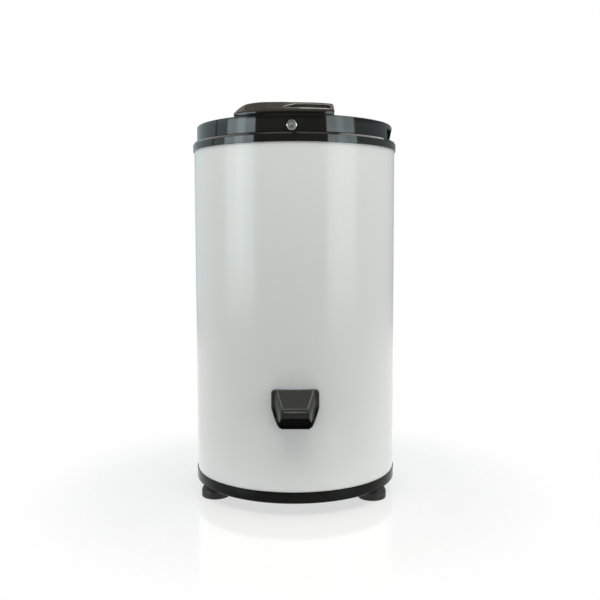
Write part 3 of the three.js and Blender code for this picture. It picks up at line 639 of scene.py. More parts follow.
in_y = [-177.8, -187, -196, -205, -212, -214.6]
in_sec = [mix(slope(y)) for y in in_y[:5]] + [nose(3.4, 0.03)]
inner = loft([loop_y(fillet(shrink(q, 2.2), [3, 3, 3, 3, 3, 2, 1, 1, 2, 3, 3, 3], 3, even=True), y) for q, y in zip(in_sec, in_y)])
spout = boolean(spout, [under, inner])
side_cuts = []
for s in (-1, 1):
    pocket = [(s * 35.1, 171.5), (s * 32.8, 171.5), (s * 28.7, 157.0), (s * 31.0, 157.0)]
    side_cuts.append(prism_y(fillet(pocket, 0.8, 3), -190, -171))
spout = boolean(spout, [
    box_mm(-28.6, 28.6, -178.2, -150, 159, 192.4),
    prism_y(fillet([(-26, 161), (26, 161), (26.8, 148.4), (23.9, 140.8), (-23.9, 140.8), (-26.8, 148.4)], [0, 0, 4, 5, 5, 4], 5), -185, -173.6),
    *side_cuts,
])
spout = bevelled(spout, 0.5, 2, 26)
# raised beads along the creases of the hood
p0, p1 = back[1], front[1]
for s in (-1, 1):
    rail = [(s * (p0[0] + (p1[0] - p0[0]) * t), -178.2 - 34.8 * t, p0[1] + (p1[1] - p0[1]) * t - 0.1) for t in np.linspace(0, 1, 12)]
    rail += [(s * (p1[0] - 0.7), -213.3, p1[1] - 0.35), (s * (p1[0] - 2.2), -213.3, p1[1] - 0.45)] if s > 0 else [(s * (p1[0] - 0.7), -213.3, p1[1] - 0.35), (s * (p1[0] - 2.2), -213.3, p1[1] - 0.45)]
    spout = boolean(spout, [tube_along(rail, 0.62, 10)], "UNION")
spout = boolean(spout, [tube_along([(x, -213.25, p1[1] - 0.4) for x in np.linspace(-17.6, 17.6, 8)], 0.62, 10)], "UNION")
# the fuller roll of the lip under the crease
spout = boolean(spout, [tube_along([(x, -215.85 + 0.0016 * x * x, 173.5) for x in np.linspace(-18.2, 18.2, 12)], 1.05, 14)], "UNION")
edges = []
for s in (-1, 1):
    rail = [(s * (p0[0] + (p1[0] - p0[0]) * t), -178.4 - 34.7 * t, p0[1] + (p1[1] - p0[1]) * t - 0.05) for t in np.linspace(0, 1, 14)]
    edges.append(tube_along(rail, 0.72, 10))
edges.append(tube_along([(x, -213.35, p1[1] - 0.35) for x in np.linspace(-18.4, 18.4, 8)], 0.72, 10))
for s in (-1, 1):  # softened outer edge of the flange
    edges.append(tube_along([(s * 36.2, -177.5, 192), (s * 36.2, -177.5, 174), (s * 35.9, -177.3, 170.4), (s * 32.7, -177.1, 159.4), (s * 29.4, -176.9, 149.8)], 0.5, 10))
edges = moved(joined(*edges), (SPOUT_X, 0, 0))
roll = moved(tube_along([(x, -215.80 + 0.0016 * x * x, 173.5) for x in np.linspace(-17.6, 17.6, 12)], 1.15, 14), (SPOUT_X, 0, 0))
# the crease edges and the lip roll are a lighter black that paints highlight lines along the hood's creases and nose
piece("spout_crease_edges", edges, "cabinet", "edge_satin_painted_highlight", sharp=60)
piece("spout_lip_roll", roll, "cabinet", "edge_satin_painted_highlight", sharp=60)
spout = moved(spout, (SPOUT_X, 0, 0))
spout = boolean(spout, [prism_z(circle(170.35, 288), 100, 250)])
spout_ob = piece("drain_spout", spout, "cabinet", "satin_black", ["spout"], sharp=40)
spout_ob.data.materials.append(M["spout_painted_shade"])
for f in spout_ob.data.polygons:  # the bore, the lip's underside, the mouth and the side slits get a near-black that paints the shade inside them
    cx, cy, cz = (1000 * f.center[0] - SPOUT_X, 1000 * f.center[1] - AXIS_Y, 1000 * f.center[2])
    share = slope(cy)
    if cy < -177.5:
        top = 198.9 + (178.2 - 198.9) * share - (8.0 * smooth((-cy - 213) / 4) if cy < -213 else 0)
        half = 29.5 - 7.4 * share
        if (cz < top - 1.4 and abs(cx) < half - 1.6 and cy > -215.4) or f.normal[2] < -0.45:
            f.material_index = 1
    elif cz < 159 and abs(cx) < 27.4 - (159 - cz) * 0.18 and cy < -172:
        f.material_index = 1
    elif 28 < abs(cx) < 35.3 and 156 < cz < 171.6 and cy > -177.2:
        f.material_index = 1

# ------------------------------------------------------------------ hinge
HX, HZ, HR = 158.5, 613.5, 5.7


def ring_outline(cx, cz, r, n=40):
    return [(cx + r * math.sin(2 * math.pi * k / n), cz + r * math.cos(2 * math.pi * k / n)) for k in range(n)]


def ear_outline(x0, x1, z0, cx, cz, r, n=24):
    """A post from z0 with a round head"""
    pts = [(x0, z0), (x1, z0)]
    for k in range(n + 1):
        t = math.pi * k / n
        pts.append((cx + r * math.cos(t), cz + r * math.sin(t)))
    return pts


foot_plate = bevelled(box_mm(151, 168, -22, 22, 590.4, 593), 0.8, 3)
ears = []
for y0, y1 in ((-21, -13.3), (13.3, 21)):
    e = boolean(prism_y(ear_outline(153.2, 159.6, 591.2, HX, HZ, HR), y0, y1), [cyl_y(2.6, y0 - 2, y1 + 2, 24, HX, HZ)])
    ears.append(bevelled(e, 0.7, 3, 40))
piece("hinge_bracket_moulding", joined(foot_plate, *ears), "cabinet", "gloss_black", ["hinge_bracket"], sharp=40)
pin = joined(cyl_y(2.3, -21.6, 21.6, 24, HX, HZ))
piece("hinge_pin_rod", bevelled(pin, 0.4, 2, 40), "cabinet", "steel", ["hinge_pin"])

# ------------------------------------------------------------------ lid
lid_profile = fillet(
    [(9.5, 623.6), (120, 619.0), (158.5, 614.4), (162.6, 611.5), (162.6, 591.1), (165, 591.1), (165, 617.0), (157.2, 617.3), (155.6, 616.5),
     (153.8, 616.5), (152.6, 617.9), (120, 621.5), (60, 624.2), (46, 624.75), (44.5, 624.1), (41.5, 624.2), (40, 625.0), (9.5, 626)],
    [0.5, 10, 4, 4, 0.4, 0.55, 1.6, 1.0, 0.6, 0.6, 1.2, 30, 30, 0.8, 0.6, 0.6, 0.8, 0.8], 5)
HEX_A, HEX_Z = -1.0, 600.1
bolt_hole = radial(cyl_y(3.1, -172, -150, 32, 0, HEX_Z), HEX_A)
shell = lathe(lid_profile, N)
shell = boolean(shell, [box_mm(148, 175, -66, 66, 585, 609), box_mm(151.8, 175, -23.5, 23.5, 585, 630), bolt_hole])
piece("lid_shell_moulding", shell, "lid", "gloss_black", ["lid_shell"], sharp=26)
knuckle = prism_y(fillet([(146, 608.8), (HX, HZ - HR), (HX + HR, HZ - 3.2), (HX + HR, HZ + 3.2), (HX, HZ + HR), (146, 617.4)], [0.5, 5, 5, 5, 5, 0.5], 6), -12.6, 12.6)
knuckle = boolean(knuckle, [cyl_y(2.6, -20, 20, 24, HX, HZ)])
piece("lid_knuckle", bevelled(knuckle, 0.6, 3, 40), "lid", "gloss_black")
lid_bosses = []
for a in (-30, -150, 150):
    x, y, _ = at(a, 140)
    b = lathe(fillet([(2.3, 598.6), (5, 598.6), (5.4, 617.2), (2.3, 617.2)], 0.4, 2), 32)
    lid_bosses.append(moved(b, (x, y, 0)))
piece("lid_screw_bosses", joined(*lid_bosses), "lid", "gloss_black")

# inner pan of the lid: a shallow plug with a stepped flange and a pressed pattern under it
pan_profile = fillet(
    [(0, 576.9), (30, 576.9), (32.4, 578.3), (40, 578.3), (42.4, 576.9), (88, 576.9), (90.4, 578.3), (98, 578.3), (100.4, 576.9), (112, 576.9), (113.6, 576), (116.2, 576),
     (117, 577.2), (117, 596), (156.4, 596), (156.4, 598.2), (114.6, 598.2), (114.6, 578.4), (100, 579.2), (0, 579.2)],
    [0, 1, 1, 1, 1, 1, 1, 1, 1, 1, 1, 1, 1.2, 1.6, 0.6, 0.6, 1, 1, 1, 0], 3, closed=False)
lid_pan = lathe(pan_profile, 192, closed=False)
lid_pan = boolean(lid_pan, [box_mm(-119, -112, -11, 11, 579.4, 587), box_mm(151.5, 160, -23.5, 23.5, 590, 602)])
rails = [bevelled(box_mm(-104, -62, y0, y1, 579.0, 585.6), 0.4, 2) for y0, y1 in ((10.6, 13), (-13, -10.6))]
piece("lid_inner_pan", joined(lid_pan, *rails), "lid", "pan_plastic", ["lid_pan"])
seal = lathe(fillet([(127, 595.7), (127, 592.8), (128.6, 590.5), (130, 591.8), (131.4, 590.5), (133, 592.8), (133, 595.7)], [0.4, 0.6, 0.8, 0.5, 0.8, 0.6, 0.4], 3), 160)
piece("lid_seal_ring", seal, "lid", "rubber", ["lid_seal"])
for i, a in enumerate((-30, -150, 150)):
    x, y, _ = at(a, 140)
    s = lathe(fillet([(0, 592.5), (2.6, 592.8), (3.8, 594.4), (3.8, 595.7), (1.8, 595.7), (1.8, 607), (0, 607)], [0, 0.8, 0.4, 0.1, 0.1, 0.4, 0], 3), 24, closed=False)
    s = boolean(s, [box_mm(-2.4, 2.4, -0.4, 0.4, 591, 593.8), box_mm(-0.4, 0.4, -2.4, 2.4, 591, 593.8)])
    piece("lid_screw_head_%d" % (i + 1), moved(s, (x, y, 0)), "lid", "zinc", ["lid_screw_%d" % (i + 1)])

# chrome hexagon bolt: washer face, chamfered head with a shallow dished front
HEX_R = 8.3
head = prism_y([(HEX_R * math.cos(rad(60 * k)), HEX_R * math.sin(rad(60 * k))) for k in range(6)], -4.4, -0.7)
cone = lathe(fillet([(0, 4.7), (5.6, 4.7), (9.4, 3.0), (9.4, -1), (0, -1)], [0, 0.5, 0.3, 0, 0], 3), 64, closed=False)
cone = moved(cone, rot=Matrix.Rotation(rad(90), 4, "X"))
head = boolean(head, [cone], "INTERSECT")
dish = lathe([(0, 4.0), (2.6, 4.1), (4.0, 4.8), (4.0, 6), (0, 6)], 48, closed=False)
dish = moved(dish, rot=Matrix.Rotation(rad(90), 4, "X"))
head = boolean(head, [dish])
head = bevelled(head, 0.25, 2, 20)
washer = moved(lathe(fillet([(0, 0.3), (7.6, 0.3), (7.6, 0.8), (0, 0.8)], [0, 0.15, 0.2, 0], 2), 64, closed=False), rot=Matrix.Rotation(rad(90), 4, "X"))
shank = cyl_y(2.6, -0.5, 8, 24, 0, 0)
bolt = joined(head, washer, shank)
piece("front_bolt_hex", moved(moved(bolt, (0, -165.0, HEX_Z)), rot_z=HEX_A), "lid", "bolt_chrome", ["front_hex_bolt"], sharp=24)


# ------------------------------------------------------------------ lever
GRIP_TOP = 636.7
A0, A1 = -34.7, 22.6
TOP_LINE = [(-34.7, 622.7), (-34.2, 623.2), (-33.8, 624.0), (-31.5, 629.4), (-29.5, 632.7), (-27.5, 634.9), (-24.6, 636.0), (-20, 636.7), (-17, 636.7),
            (-8, 636.0), (3, 635.4), (14, 635.3), (20.4, 634.9), (21.3, 634.4), (22.0, 633.4), (22.4, 632.2), (22.6, 631.0)]


def grip_top(a):
    """height of the front top edge, a smooth line through TOP_LINE"""
    n = len(TOP_LINE)
    i = max(0, min(n - 2, next((k - 1 for k in range(1, n) if a <= TOP_LINE[k][0]), n - 2)))
    (a0, z0), (a1, z1) = TOP_LINE[i], TOP_LINE[i + 1]
    m = lambda k: (TOP_LINE[min(n - 1, k + 1)][1] - TOP_LINE[max(0, k - 1)][1]) / (TOP_LINE[min(n - 1, k + 1)][0] - TOP_LINE[max(0, k - 1)][0])
    h = a1 - a0
    t = (a - a0) / h
    return ((2 * t ** 3 - 3 * t ** 2 + 1) * z0 + (t ** 3 - 2 * t ** 2 + t) * h * m(i) + (3 * t ** 2 - 2 * t ** 3) * z1 + (t ** 3 - t ** 2) * h * m(i + 1))


def scoop(a):
    """lower edge, upper edge and depth of the finger scoop"""
    t = (a + 5.6) / 26.3
    if t <= 0 or t >= 1:
        return 626.6, 631.8, 0.0
    low = 626.9 - 1.1 * smooth(t / 0.2)
    up = 627.3 + 5.0 * min(1.0, t / 0.24) ** 0.6
    close = math.sqrt(max(0.0, 1 - max(0.0, (t - 0.93) / 0.07) ** 2))
    mid = low + (up - low) * 0.45
    low, up = mid + (low - mid) * close, mid + (up - mid) * close
    return low, up, 4.4 * smooth(t / 0.2) * close


def grip_section(a):
    zt = grip_top(a)
    zl, zu, d = scoop(a)
    k = min(1.0, max(0.05, (zt - 621.4) / (635.3 - 621.4)))
    f = lambda z: 621.4 + (z - 621.4) * k if z > 621.4 else z
    zl, zu = f(zl), f(zu)
    h = zu - zl
    back = 0.44 + 0.41 * smooth((a + 6) / 7) * (1 - smooth((a - 19) / 3))  # above the scoop the face leans back further
    face = lambda z: 163.7 - 0.44 * (min(z, zu) - f(626.2)) * (z > f(626.2)) - back * max(0.0, z - zu)
    end = 0.0
    if a > 21.4:
        t = (a - 21.4) / 1.2
        end = 3.2 * (1 - math.sqrt(max(0.0, 1 - t * t)))
    if a < -34.1:
        t = (-34.1 - a) / 0.6
        end = 1.4 * (1 - math.sqrt(max(0.0, 1 - t * t)))
    bowl = [(face(zl + u * h) - d * w, zl + u * h) for u, w in
            ((0, 0), (0.035, 0.05), (0.08, 0.22), (0.14, 0.52), (0.22, 0.86), (0.32, 1.0), (0.55, 1.02), (0.74, 0.97), (0.88, 0.78), (0.96, 0.36), (1.0, 0.0))]
    sec = [
        (164.3, 617.5), (163.6, 617.9), (163.4, 618.6), (163.4, 621.3), (163.4, f(622.3)), (163.7, f(622.9)), (164.3, f(623.4)), (164.65, f(624.0)),
        (164.5, f(624.8)), (164.05, f(625.5)), *bowl,
        (face(zt - 1.0 * k), zt - 1.0 * k), (face(zt - 0.4 * k) - 0.12, zt - 0.4 * k), (face(zt) - 0.6, zt - 0.08 * k), (157.2, zt - 0.05), (154.5, zt + 0.12),
        (140, zt + 0.40), (126, zt + 0.1), (121, zt - 0.3), (118.2, zt - 1.1 * k), (116.4, zt - 2.6 * k), (114.2, max(622.8, min(zt - 3.0 * k, 629))),
        (112.3, 622.4), (140, 619.95),
    ]
    if end > 0:
        sec = [((r - end) if r > 150 else r, z) for r, z in sec]
    return sec


angles = (list(np.arange(A0, -33.6, 0.1)) + list(np.arange(-33.6, -24, 0.4)) + list(np.arange(-24, -6, 1.0)) + list(np.arange(-6, 1.6, 0.25))
          + list(np.arange(1.6, 18.4, 0.8)) + list(np.arange(18.4, 21.4, 0.2)) + list(np.arange(21.4, A1 - 0.02, 0.1)) + [A1])
loops = [[at(a, r, z) for r, z in grip_section(a)] for a in angles]
grip = loft(loops)
grip_ob = piece("lever_grip", grip, "lever", "handle_black", ["lever_handle"], sharp=38)
grip_ob.data.materials.append(M["gloss_black"])
grip_ob.data.materials.append(M["scoop_painted_light"])
for f in grip_ob.data.polygons:  # the undercut strip against the lid gets the darker lid black as painted shade under the grip's flare; the scoop gets a lighter and matter black that paints light into its shaded hollow
    gx, gy, gz = 1000 * f.center[0], 1000 * f.center[1] - AXIS_Y, 1000 * f.center[2]
    gr = math.hypot(gx, gy)
    if gz < 622.5 and gr > 160:
        f.material_index = 1
    elif gr > 150 and 625.5 < gz < 633.5:
        ga = math.degrees(math.atan2(gx, -gy))
        zl, zu, depth = scoop(ga)
        if depth > 0.3 and zl < gz < zu and gr < 163.7 - 0.44 * max(0.0, gz - 626.2) - 0.5:
            f.material_index = 2
# a fine rim round the finger scoop, lighter than the grip: a painted highlight along the scoop's edge
rim = []
span = list(np.linspace(-5.45, -3.0, 14)) + list(np.linspace(-2.6, 18.6, 34)) + list(np.linspace(18.8, 20.62, 16))
for a, side in [(a, 1) for a in span] + [(a, 0) for a in reversed(span)]:
    zl, zu, _ = scoop(a)
    k = min(1.0, max(0.05, (grip_top(a) - 621.4) / (635.3 - 621.4)))
    z = 621.4 + ((zu if side else zl) - 621.4) * k
    rim.append(at(a, 163.7 - 0.44 * max(0.0, z - (621.4 + 4.8 * k)) - 0.05, z))
rim = [q for i, q in enumerate(rim) if i == 0 or math.dist(q, rim[i - 1]) > 0.12]
piece("scoop_rim", tube_along(rim, 0.46, 10), "lever", "edge_painted_highlight", sharp=60)


def along(span, side, out, drop):
    """points along the scoop's upper (side 1) or lower (side 0) edge"""
    pts = []
    for a in span:
        z = scoop(a)[0 if side == 0 else 1]
        pts.append(at(a, 163.7 - 0.44 * max(0.0, z - 626.2) + out, z + drop))
    return pts


# beads along the scoop's floor line and the sweep at its left tip, in a pale colour that paints a bright highlight
# there
sill = joined(tube_along(along(np.linspace(3.0, 19.2, 24), 0, 0.05, -0.25), 0.6, 10),
              tube_along(along(np.linspace(-5.2, 0.6, 26), 1, 0.05, -0.1), 0.62, 10))
piece("scoop_sill", sill, "lever", "sill_painted_highlight", sharp=60)

arm_pts = [at(-112, 27)[:2], at(-80, 27)[:2], at(-48, 60)[:2]] + [at(a, 124)[:2] for a in range(-27, 14, 4)] + [at(33, 60)[:2], at(66, 27)[:2], at(98, 27)[:2], at(135, 27)[:2], at(172, 27)[:2], at(-148, 27)[:2]]
arm = bevelled(prism_z(fillet(arm_pts, [2, 8, 40] + [0] * 11 + [40, 8, 2, 0, 0, 0], 6), 627.0, 632.4), 1.3, 4, 40)
groove = prism_z(fillet([at(-35, 62)[:2], at(-20, 116)[:2], at(8, 116)[:2], at(20, 62)[:2], at(-8, 44)[:2]], [6, 3, 3, 6, 10], 5), 631.5, 640)
arm = boolean(arm, [groove])
disc = lathe(fillet([(7.4, 627.2), (27.4, 627.2), (27.4, 634.4), (25.2, 634.9), (10.5, 634.9), (7.4, 632.6)], [0.3, 0.5, 1.6, 1.6, 1.0, 0.3], 5), 96)
hub = lathe(fillet([(3.6, 627.2), (8, 627.2), (8, 630.9), (3.6, 630.9)], 0.2, 2), 48)
piece("lever_arm", joined(arm, disc, hub), "lever", "handle_black", sharp=35)
ls = lathe(fillet([(0, 634.5), (4.6, 634.2), (6.7, 632.8), (6.7, 631.2), (3.1, 631.2), (3.1, 606), (0, 606)], [0, 1.5, 0.5, 0.1, 0.1, 0.4, 0], 4), 48, closed=False)
ls = boolean(ls, [box_mm(-4.2, 4.2, -0.6, 0.6, 633.0, 636), box_mm(-0.6, 0.6, -4.2, 4.2, 633.0, 636)])
piece("lever_screw_head", ls, "lever", "zinc", ["lever_screw"])

# ------------------------------------------------------------------ drum with its full perforation
R_OUT, R_IN = 134.0, 132.9
rows, cols = 15, 48
z_lo, z_hi = 240.0, 528.0
hole_r = 2.6
bm = bmesh.new()
cell_w = 2 * math.pi * R_OUT / cols
dz = (z_hi - z_lo) / rows


def cyl_pt(u, z, r):
    a = u / R_OUT
    return (r * math.sin(a), -r * math.cos(a), z)


HN = 8
cache = {}


def vert(key, co):
    if key not in cache:
        cache[key] = bm.verts.new(co)
    return cache[key]


for side, rr in (("o", R_OUT), ("i", R_IN)):
    for i in range(rows):
        for j in range(cols * 2):
            u0, u1 = j * cell_w / 2, (j + 1) * cell_w / 2
            z0, z1 = z_lo + i * dz, z_lo + (i + 1) * dz
            key = lambda a, b: (side, a % (cols * 2), b)
            corners = [vert(key(j, i), cyl_pt(u0, z0, rr)), vert(key(j + 1, i), cyl_pt(u1, z0, rr)),
                       vert(key(j + 1, i + 1), cyl_pt(u1, z1, rr)), vert(key(j, i + 1), cyl_pt(u0, z1, rr))]
            if (i + j) % 2 or i % 5 == 4:
                bm.faces.new(corners if side == "o" else corners[::-1])
                continue
            uc, zc = (u0 + u1) / 2, (z0 + z1) / 2
            hole = []
            for k in range(HN):
                t = 2 * math.pi * (k + 0.5) / HN - 3 * math.pi / 4
                hole.append(bm.verts.new(cyl_pt(uc + hole_r * math.cos(t), zc + hole_r * math.sin(t), rr)))
            cache[("hole", side, i, j)] = hole
            for q in range(4):
                a, b = corners[q], corners[(q + 1) % 4]
                h = [hole[(2 * q - 1) % HN], hole[2 * q], hole[(2 * q + 1) % HN]]
                f1, f2 = [a, h[1], h[0]], [a, b, h[2], h[1]]
                bm.faces.new(f1 if side == "o" else f1[::-1])
                bm.faces.new(f2 if side == "o" else f2[::-1])
for i in range(rows):
    for j in range(cols * 2):
        o, n_ = cache.get(("hole", "o", i, j)), cache.get(("hole", "i", i, j))
        if not o:
            continue
        for k in range(HN):
            k2 = (k + 1) % HN
            bm.faces.new([o[k], o[k2], n_[k2], n_[k]])
wall = bm
NC = cols * 2
lower = lathe(fillet([(5.6, 222.3), (40, 222.3), (44, 225.6), (96, 225.6), (100, 222.3), (126, 222.3), (134, 230), (134, 240), (132.9, 240), (132.9, 231), (125.4, 223.6), (100.8, 223.6), (96.6, 226.9), (43.4, 226.9), (39.2, 223.6), (5.6, 223.6)],
                     [0, 2, 2, 2, 2, 6, 6, 0, 0, 5, 5, 2, 2, 2, 2, 0], 4), NC)
upper = lathe(fillet([(132.9, 528), (134, 528), (134, 546.5), (131.6, 549), (122.6, 549), (121, 547.8), (121, 546.6), (122.6, 547.6), (130.6, 547.6), (132.9, 545.6)],
                     [0, 0, 2, 1.6, 0.8, 0.5, 0.4, 0.5, 1.2, 1.5], 4), NC)
piece("drum_shell", joined(wall, lower, upper), "rotor", "stainless", ["drum"], sharp=40)
bal = lathe(fillet([(123.6, 535.6), (131.8, 535.6), (131.8, 544.6), (123.6, 544.6)], 1.6, 4), 144)
piece("balance_ring_moulding", bal, "rotor", "grey_plastic", ["balance_ring"])
cap_profile = fillet([(0, 247.4), (9, 246.8), (16, 244.2), (20, 238), (24, 224.2), (21.6, 224.2), (17.8, 237), (14.4, 242.4), (0, 245)], [0, 4, 4, 4, 0.8, 0.6, 3, 3, 0], 5, closed=False)
cap = lathe(cap_profile, 72, closed=False)
fins = []
for k in range(6):
    fins.append(moved(bevelled(box_mm(-0.9, 0.9, 17.4, 22.2, 226, 240), 0.4, 2), rot_z=60 * k))
piece("drum_cap_moulding", joined(cap, *fins), "rotor", "grey_plastic", ["drum_cap"])

# ------------------------------------------------------------------ tub with ribs, bellows, rubber pillars, cable, spring
tub = lathe(fillet([(48, 186), (70, 166), (156, 166), (159, 169), (159, 584), (156.5, 584), (156.5, 169.2), (71, 168.5), (49.5, 188.4)],
                   [0.6, 4, 2.5, 2.5, 0.6, 0.6, 2, 4, 0.6], 4), 192)
tub = boolean(tub, [box_mm(-19, 19, -170, -140, 169.7, 184), box_mm(-170, -150, -3.4, 3.4, 566, 582)])
ribs = [lathe(fillet([(158.9, z - 1.2), (160.6, z - 1.0), (160.6, z + 1.0), (158.9, z + 1.2)], 0.3, 1), 96) for z in (240, 340, 440, 540)]
piece("tub_moulding", joined(tub, *ribs), "cabinet", "grey_plastic", ["tub"])
bel = lathe(fillet([(53, 188.8), (53, 190.8), (44, 190.8), (39, 187.4), (33, 192.4), (25, 190.4), (20.2, 197), (20.2, 193.6), (24.4, 187.8), (32.6, 189.8), (39, 184.6), (45.6, 188.8)],
                   [0.3, 0.3, 1.5, 2, 2, 2, 0.5, 0.5, 2, 2, 2, 1.5], 4), 96)


def soft_piece(name, bm, mat, nodes, a):
    ob = piece(name, bm, a, mat, nodes)
    world = ob.matrix_world.copy()
    ob.parent = None
    ob.matrix_world = world
    if "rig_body" in ob:
        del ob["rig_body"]
    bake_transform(ob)
    return ob


soft_piece("tub_bellows_skin", bel, "rubber", ["tub_bellows"], "cabinet")
for name, a in FEET.items():
    x, y, _ = at(a, 112)
    pillar = lathe(fillet([(0, 32.3), (16, 32.3), (16, 37), (11.5, 43), (11.5, 64), (16, 70), (16, 74.7), (0, 74.7)], [0, 0.6, 2, 4, 4, 2, 0.6, 0], 5), 48, closed=False)
    soft_piece("pillar_rubber_" + name, moved(pillar, (x, y, 0)), "rubber", ["rubber_pillar_" + name], "cabinet")


def catmull(points, per=8):
    out = []
    p = [np.array(q, float) for q in points]
    p = [2 * p[0] - p[1]] + p + [2 * p[-1] - p[-2]]
    for i in range(1, len(p) - 2):
        for k in range(per):
            t = k / per
            out.append(0.5 * ((2 * p[i]) + (-p[i - 1] + p[i + 1]) * t + (2 * p[i - 1] - 5 * p[i] + 4 * p[i + 1] - p[i + 2]) * t * t
                              + (-p[i - 1] + 3 * p[i] - 3 * p[i + 1] + p[i + 2]) * t ** 3))
    out.append(p[-2])
    return out


cable_points = [(-138.0, 0, 579.2), (-145, 0, 579.2), (-153, 0, 578.8), (-158.6, 0, 575.4), (-162.6, 0, 566), (-164.2, 0, 548),
                (-164.2, 0, 400), (-164.2, 0, 250), (-164.2, 0, 140), (-163, -1.5, 112), (-155, -6, 84), (-138, -15, 61),
                (-114, -24, 49), (-90, -34, 44), (-72, -45, 43), (-53.5, -51, 43)]
sheath = boolean(tube_along(catmull(cable_points, 6), 1.85, 10), [tube_along([(-143.6, 0, 579.2), (-136, 0, 579.2)], 1.1, 12)])
piece("brake_cable_wire", tube_along([(-134.3, 0, 579.2), (-139.3, 0, 579.2)], 0.7, 8), "slider", "steel")
soft_piece("brake_cable_sheath", sheath, "dark_plastic", ["brake_cable"], "cabinet")
coil = []
turns = 7
for k in range(turns * 14 + 1):
    t = k / (turns * 14)
    coil.append((-42.6 + 26.2 * t, -52 + 3.6 * math.cos(t * turns * 2 * math.pi), 43 + 3.6 * math.sin(t * turns * 2 * math.pi)))
soft_piece("brake_spring_coil", tube_along(coil, 0.7, 8), "steel", ["brake_spring"], "brake")

# ------------------------------------------------------------------ remaining carried-over pieces: finishes and softened edges
CARRIED = {
    "tub_gasket": ("rubber", 0.0), "tub_post_1": ("zinc", 0.0), "tub_post_2": ("zinc", 0.0), "tub_post_3": ("zinc", 0.0),
    "drain_duct": ("grey_plastic", 0.5), "latch_housing": ("grey_plastic", 0.5), "microswitch": ("dark_plastic", 0.4),
    "run_capacitor": ("grey_plastic", 0.8), "front_catch_tongue": ("zinc", 0.3), "lever_cam": ("grey_plastic", 0.4),
    "latch_bolt": ("zinc", 0.5), "lock_slider": ("grey_plastic", 0.4), "motor_plate": ("zinc", 0.4),
    "motor_can": ("motor_enamel", 0.5), "motor_end_cap": ("aluminium", 0.6), "bearing_tube": ("aluminium", 0.5),
    "upper_bearing": ("steel", 0.3), "lower_bearing": ("steel", 0.3), "stator": ("copper", 0.8), "brake_pivot_pin": ("steel", 0.3),
    "brake_lever": ("zinc", 0.5), "brake_shoe": ("friction", 0.3), "motor_shaft": ("steel", 0.4), "rotor_core": ("steel", 0.5),
    "brake_fan_wheel": ("aluminium", 0.4), "drum_hub": ("aluminium", 0.5), "drum_nut": ("zinc", 0.4),
}
for node, (mat, bevel) in CARRIED.items():
    ob = frame["nodes"][node]
    ob.data.materials.clear()
    ob.data.materials.append(M[mat])
    for p in ob.data.polygons:
        p.material_index = 0
    weld = ob.modifiers.new("weld", "WELD")
    weld.merge_threshold = 0.00002
    if bevel:
        md = ob.modifiers.new("edge", "BEVEL")
        md.width = bevel / 1000
        md.segments = 2
        md.limit_method = "ANGLE"
        md.angle_limit = rad(38)
        md.use_clamp_overlap = True

# ------------------------------------------------------------------ floor
fl = bpy.data.meshes.new("floor")
fb = bmesh.new()
rings = [0.0, 0.2, 0.4, 0.7, 1.0]
rows_ = []
for r in rings:
    if r == 0:
        rows_.append([fb.verts.new((0, 0, 0))])
    else:
        rows_.append([fb.verts.new((r * math.cos(2 * math.pi * k / 48), r * math.sin(2 * math.pi * k / 48), 0)) for k in range(48)])
for i in range(len(rows_) - 1):
    for k in range(48):
        k2 = (k + 1) % 48
        if len(rows_[i]) == 1:
            fb.faces.new([rows_[i][0], rows_[i + 1][k], rows_[i + 1][k2]])
        else:
            fb.faces.new([rows_[i][k], rows_[i + 1][k], rows_[i + 1][k2], rows_[i][k2]])
fb.to_mesh(fl)
fb.free()
floor = bpy.data.objects.new("floor", fl)
sc.collection.objects.link(floor)
fm = bpy.data.materials.new("floor")
fm.use_nodes = True
ft = Tree(fm.node_tree)
fp = fm.node_tree.nodes["Principled BSDF"]
fp.inputs["Base Color"].default_value = (0.31, 0.31, 0.307, 1)
fp.inputs["IOR"].default_value = 1.45
fp.inputs["Metallic"].default_value = 0.08
fp.inputs["Emission Color"].default_value = (1, 1, 1, 1)
fp.inputs["Emission Strength"].default_value = 0.64
fco = ft.n("ShaderNodeTexCoord").outputs["Object"]
fn = ft.n("ShaderNodeTexNoise")
fn.inputs["Scale"].default_value = 3
ft.link(fco, fn.inputs["Vector"])
ft.link(ft.step(fn.outputs["Fac"], 0.3, 0.7, 0.09, 0.13), fp.inputs["Roughness"])
flen = ft.n("ShaderNodeVectorMath", operation="LENGTH")
ft.link(fco, flen.inputs[0])
clear = ft.n("ShaderNodeBsdfTransparent")
fmix = ft.n("ShaderNodeMixShader")
ft.link(ft.step(flen.outputs["Value"], 0.27, 0.50), fmix.inputs[0])
ft.link(fp.outputs[0], fmix.inputs[1])
ft.link(clear.outputs[0], fmix.inputs[2])
ft.link(fmix.outputs[0], next(n for n in fm.node_tree.nodes if n.type == "OUTPUT_MATERIAL").inputs[0])
fl.materials.append(fm)

# ------------------------------------------------------------------ studio surround
world = bpy.data.worlds.new("studio")
sc.world = world
world.use_nodes = True
w = Tree(world.node_tree)
w.t.nodes.clear()
wout = w.n("ShaderNodeOutputWorld")
sep = w.n("ShaderNodeSeparateXYZ")
w.link(w.n("ShaderNodeTexCoord").outputs["Generated"], sep.inputs[0])
minus_y = w.math("MULTIPLY", sep.outputs["Y"], -1.0)
az = w.math("ARCTAN2", sep.outputs["X"], minus_y)
az = w.math("MULTIPLY", az, 180 / math.pi)  # 0 at the front, + to the right
el = w.math("MULTIPLY", w.math("ARCSINE", sep.outputs["Z"]), 180 / math.pi)
aaz = w.math("ABSOLUTE", az)
L_EDGE, R_EDGE = -44.6, 37.0
left = w.window(az, -82, L_EDGE, 3, 1.4)
right = w.window(az, R_EDGE, 72.5, 1.6, 2)


